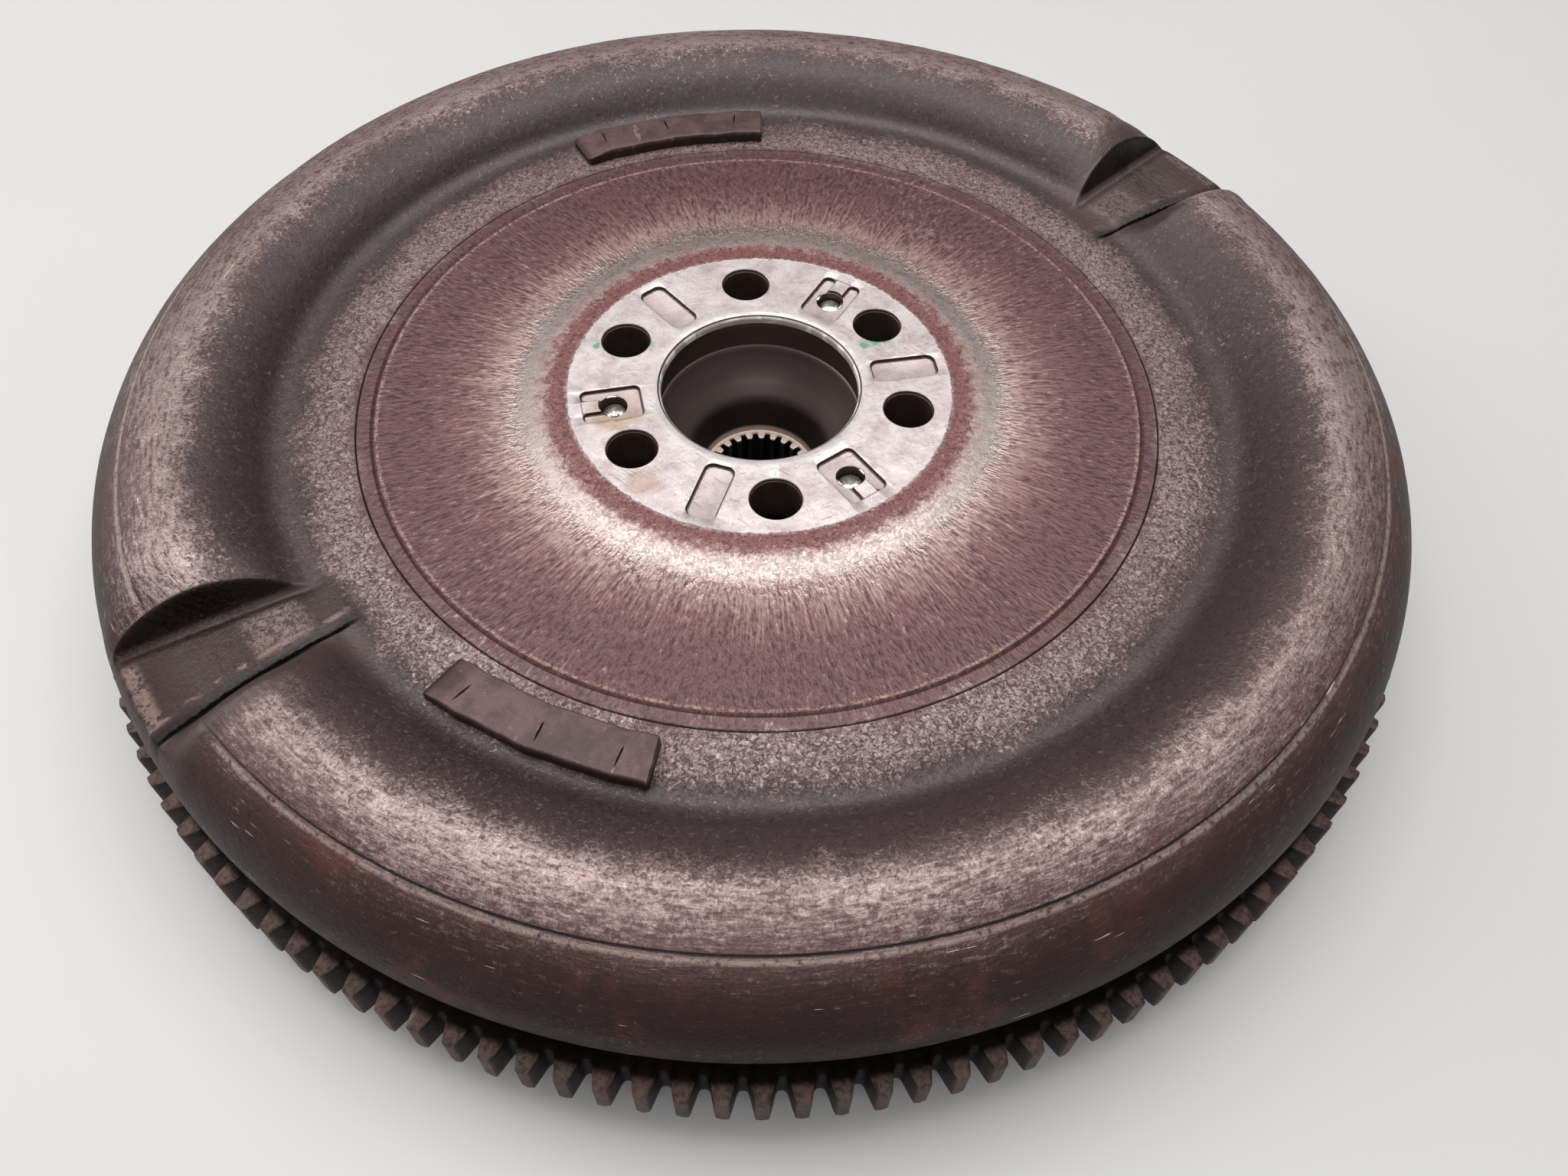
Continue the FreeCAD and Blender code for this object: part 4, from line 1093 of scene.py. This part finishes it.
    # Painted shadow: a thin black line on the chamfer at the top of the bore.
    chamfer_shadow = p.times(p.step(p.r, 22.3, 22.15), p.step(p.z, -0.36, -0.28), p.step(p.z, -0.02, -0.08))
    coats.add(p.mix(fine, (60, 42, 39), (104, 80, 73)), below)
    coats.add(p.mix(p.step(p.noise(0.25, 2.0), 0.42, 0.58), (255, 250, 246), (196, 184, 177)), land)
    coats.add((20, 13, 13), chamfer_shadow, 0.9)

    bare = p.most(p.times(face, 0.55), p.band(p.r, 46.5, 55.0, 2.5))
    metallic = p.plus(0.26, p.times(bare, 0.45), p.times(flecks, 0.3), p.times(lower_rim, 0.3),
                      p.times(land, -0.2), p.times(p.plus(floor, wall_shade), 0.22),
                      p.times(p.step(out, 138.0, 146.0), 0.35))
    metallic = p.most(p.math("MINIMUM", metallic, 0.9), gutter)
    gloss = p.plus(p.times(flecks, -0.15), p.times(bare, -0.03), p.times(polished, 0.12),
                   p.times(sunk, 0.15), p.times(lower_rim, 0.10))
    roughness = p.plus(0.37, p.times(fine, 0.12), gloss)
    coarse = p.times(lumps, p.blend(face, 1.0, 0.04))
    peel = p.plus(p.times(p.band(p.r, 85.5, 97.0, 1.5), 0.9), p.times(on_disc, 0.9),
                  p.times(on_crest, 0.5), p.times(polished, -0.5), 0.8,
                  p.times(p.band(p.r, 98.5, 111.0, 3.0), -0.5))
    scored = p.times(p.plus(p.times(marks, -1.0), p.times(dark_marks, -1.0)), face)
    bumps = (p.times(coarse, peel), 0.26), (p.noise(0.14, 4.0, 0.6), 0.25), (scored, 0.03)
    return p.finish(coats.tint, metallic, roughness, *bumps)


def plain_steel(name, dark, light, metallic, roughness, size, streak=None, depth=0.08):
    """Steel with blotches, fine grain and, where asked, turned rings."""
    p = Paint(name)
    blotch = p.noise(size, 5.0, 0.65)
    grain = p.noise(1.6, 4.0, 0.65)
    share = p.step(p.plus(p.times(blotch, 0.7), p.times(grain, 0.3)), 0.36, 0.64)
    coats = Coats(p, p.mix(share, dark, light))
    if streak:
        lines = p.noise(1.0, 4.0, 0.6, p.rings(2.0, streak))
        coats.add(light, p.step(lines, 0.5, 0.7), 0.35)
    rough = p.plus(roughness, p.times(grain, 0.14))
    bumps = p.plus(p.times(grain, 0.5), p.times(blotch, 0.5))
    return p.finish(coats.tint, metallic, rough, (bumps, depth))


def gear_steel():
    p = Paint("gear_steel")
    fine = p.noise(0.9, 5.0, 0.7)
    blotch = p.noise(0.09, 4.0, 0.6)
    coats = Coats(p, p.mix(p.step(blotch, 0.4, 0.62), (46, 31, 29), (72, 51, 46)))
    coats.add((38, 25, 24), p.step(fine, 0.55, 0.7), 0.5)
    edges = p.node("ShaderNodeNewGeometry").outputs["Pointiness"]
    worn = p.most(p.times(p.step(p.r, 140.8, 141.6), 0.22), p.times(p.step(edges, 0.53, 0.6), 0.8))
    top = p.step(p.z, GEAR_TOP_Z - 0.25, GEAR_TOP_Z - 0.05)
    worn = p.most(worn, p.times(top, p.step(p.r, 137.6, 138.6), 0.35))
    coats.add((150, 122, 110), worn, p.step(fine, 0.35, 0.6))
    # Painted shade: the tooth flanks and the gaps between the teeth are darkened to near black.
    flank_shade = p.times(p.step(p.r, 141.5, 140.6), p.step(p.z, GEAR_TOP_Z - 0.1, GEAR_TOP_Z - 0.7))
    coats.add((30, 21, 20), flank_shade, 0.6)
    gap_shade = p.step(p.r, 139.4, 137.8)
    coats.add((20, 14, 13), gap_shade, 0.9)
    metallic, rough = p.plus(0.34, p.times(gap_shade, 0.6)), p.plus(0.46, p.times(fine, 0.2))
    return p.finish(coats.tint, metallic, rough, (fine, 0.16), (p.noise(0.4, 3.0, 0.6), 0.2))


def weight_steel():
    p = Paint("weight_steel")
    fine = p.noise(0.8, 5.0, 0.7)
    blotch = p.noise(0.16, 5.0, 0.65)
    coats = Coats(p, p.mix(p.step(blotch, 0.38, 0.62), (74, 55, 54), (98, 73, 71)))
    coats.add((146, 120, 114), p.step(fine, 0.58, 0.7), 0.35)
    edges = p.node("ShaderNodeNewGeometry").outputs["Pointiness"]
    coats.add((168, 140, 130), p.step(edges, 0.53, 0.6), p.step(fine, 0.4, 0.55), 0.5)
    # Painted shade: the lower part of the strip, down to the disc, is darkened.
    coats.add((34, 21, 20), p.step(p.z, 1.2, 0.6), 0.85)
    return p.finish(coats.tint, 0.3, p.plus(0.42, p.times(fine, 0.15)), (fine, 0.1), (blotch, 0.25))


def output_steel():
    p = Paint("output_steel")
    fine = p.noise(0.9, 4.0, 0.65)
    turned_rings = p.noise(1.0, 3.0, 0.6, p.rings(1.2, 1.3))
    coats = Coats(p, p.mix(p.times(p.step(turned_rings, 0.3, 0.75), 0.3), (96, 83, 81), (116, 101, 97)))
    coats.add((112, 80, 64), p.step(fine, 0.6, 0.72), 0.25)
    # Painted shade: the funnel is darkened deep down, below its upper wall.
    coats.add((34, 25, 24), p.step(p.z, -18.6, -21.6), p.step(p.r, 24.0, 22.0))
    # Painted sheen: a lighter band on the rounded rim of the funnel.
    lip = p.times(p.step(p.z, -10.4, -9.8), p.step(p.r, 26.0, 24.4))
    coats.add((132, 116, 110), lip, 0.6)
    spline = p.times(p.step(p.r, 13.4, 13.1), p.step(p.z, -38.5, -37.8))
    coats.add(p.mix(fine, (178, 154, 140), (212, 194, 182)), spline)
    # Painted shade: the splined bore is near black below its top face.
    deep_shade = p.times(p.step(p.z, -28.2, -28.6), spline)
    coats.add((8, 6, 6), deep_shade)
    metallic = p.plus(p.blend(spline, 0.4, 0.5), p.times(deep_shade, 0.5))
    rough = p.plus(0.36, p.times(fine, 0.12))
    return p.finish(coats.tint, metallic, rough, (turned_rings, 0.02), (fine, 0.03))


def hub_steel():
    p = Paint("hub_steel")
    fine = p.noise(0.9, 4.0, 0.65)
    tint = p.mix(fine, (52, 42, 40), (92, 72, 66))
    return p.finish(tint, 0.4, p.plus(0.4, p.times(fine, 0.15)), (fine, 0.05))


# ---------------------------------------------------------------- the object

steel = {
    "shell_steel": shell_steel(),
    "gear_steel": gear_steel(),
    "weight_steel": weight_steel(),
    "output_steel": output_steel(),
    "hub_steel": hub_steel(),
}
# Dark and light tints, metallic, roughness, blotches to a millimetre, and for some the width of
# the turned rings and the depth of the grain.
PLAIN = {
    "pin_steel": ((150, 140, 136), (230, 224, 220), 0.85, 0.16, 0.6, None, 0.02),
    "cover_steel": ((52, 42, 40), (84, 66, 62), 0.25, 0.5, 0.2, 0.8),
    "spring_steel": ((70, 66, 64), (104, 98, 94), 0.7, 0.32, 0.4),
    "flange_steel": ((84, 78, 76), (118, 110, 106), 0.6, 0.36, 0.2, 0.7),
    "membrane_steel": ((112, 106, 102), (148, 140, 136), 0.75, 0.3, 0.15, 0.6),
    "rivet_steel": ((92, 84, 80), (136, 126, 120), 0.6, 0.36, 0.5),
    "polymer": ((38, 34, 32), (58, 52, 48), 0.0, 0.5, 0.6),
}
for name, look in PLAIN.items():
    steel[name] = plain_steel(name, *look)

face_part = crank_face()
shell = joined("primary_shell_sheet", outer_shell(), face_part)
show("shell_sheet", shell, "shell_steel", "primary", "primary_shell", sharp=40)
show("ring_gear_teeth", ring_gear(), "gear_steel", "primary", "starter_ring_gear")
show("cover_forging", cover(), "cover_steel", "primary", "primary_cover")
for index, (middle, span, blended) in enumerate(WEIGHTS, 1):
    strip = weight(index, middle, span, blended)
    show(f"weight_strip_{index}", strip, "weight_steel", "primary", f"balance_weight_{index}")
show("staked_pins", pins(), "pin_steel", "primary", "hub_pins")
show("hub_and_funnel", output_hub(), "output_steel", "output", "output_hub")
for index, stop in enumerate(STOP_ANGLES, 1):
    for kind, *sizes in SPRINGS:
        node = f"arc_spring_{kind}_{index}"
        coil = helix(node, stop + SPRING_START, SPRING_SPAN, *sizes)
        show(f"{kind}_coil_{index}", coil, "spring_steel", "primary", node, sharp=60)

# The CAD nodes that still show.
for name, finish in (
    ("hub_ring", "hub_steel"), ("bolt_washer_plate", "hub_steel"), ("bearing_bush", "polymer"),
    ("spring_guide_1", "spring_steel"), ("spring_guide_2", "spring_steel"),
    ("disc_spring", "spring_steel"), ("cover_seal_ring", "polymer"),
    ("output_flange", "flange_steel"), ("seal_membrane", "membrane_steel"),
    ("flange_rivets", "rivet_steel"), ("friction_ring", "polymer"),
):
    slots = nodes[name].material_slots
    for slot in slots:
        slot.material = steel[finish]
    if not slots:
        nodes[name].data.materials.append(steel[finish])


# ---------------------------------------------------------------- floor, light and camera


def floor():
    """A wide pale plane under the part."""
    size = 4.0
    data = bpy.data.meshes.new("floor")
    corners = [(-size, -size), (size, -size), (size, size), (-size, size)]
    data.from_pydata([(x, y, BASE_Z * MM) for x, y in corners], [], [(0, 1, 2, 3)])
    p = Paint("floor_finish")
    tone = p.mix(p.noise(0.004, 3.0, 0.5), (202, 201, 200), (214, 213, 212))
    data.materials.append(p.finish(tone, 0.0, p.plus(0.5, p.times(p.noise(0.02, 2.0), 0.1))))
    make_object("floor", data)


def area_light(name, place, size, power, tint=(1, 1, 1)):
    """A soft light that faces the part."""
    data = bpy.data.lights.new(name, "AREA")
    data.shape = "RECTANGLE"
    data.size, data.size_y = size
    data.energy = power
    data.color = tint
    thing = make_object(name, data)
    thing.location = place
    thing.rotation_euler = (Vector() - Vector(place)).to_track_quat("-Z", "Y").to_euler()


def turn_z(angle):
    return Matrix.Rotation(math.radians(angle), 4, "Z")


floor()
view_turn = turn_z(-66)
area_light("ceiling", view_turn @ Vector((0.0, 0.25, 0.95)), (1.2, 0.6), 8.5)
area_light("window", view_turn @ Vector((-1.1, 0.35, 0.7)), (0.7, 0.9), 6.0, (1.0, 0.985, 0.97))
area_light("front_fill", view_turn @ Vector((0.0, -0.8, 0.85)), (0.9, 0.25), 2.6)
area_light("sky", (0, 0, 3.0), (4.0, 4.0), 26.0)
world = bpy.data.worlds.new("studio")
world.use_nodes = True
world.node_tree.nodes["Background"].inputs["Color"].default_value = (0.92, 0.9, 0.9, 1)
world.node_tree.nodes["Background"].inputs["Strength"].default_value = 0.16
bpy.context.scene.world = world
bpy.context.scene.view_settings.view_transform = "Standard"

camera_data = bpy.data.cameras.new("camera")
camera_data.lens = 28.85
camera_data.sensor_width = 36.0
camera_data.clip_start = 0.01
camera = make_object("camera", camera_data)
tilt = Matrix.Rotation(math.radians(36.26), 4, "X")
place = view_turn @ Vector((0.0, -0.1946, 0.1915))
camera.matrix_world = Matrix.Translation(place) @ turn_z(-67.98) @ tilt @ turn_z(2.01)
bpy.context.scene.camera = camera
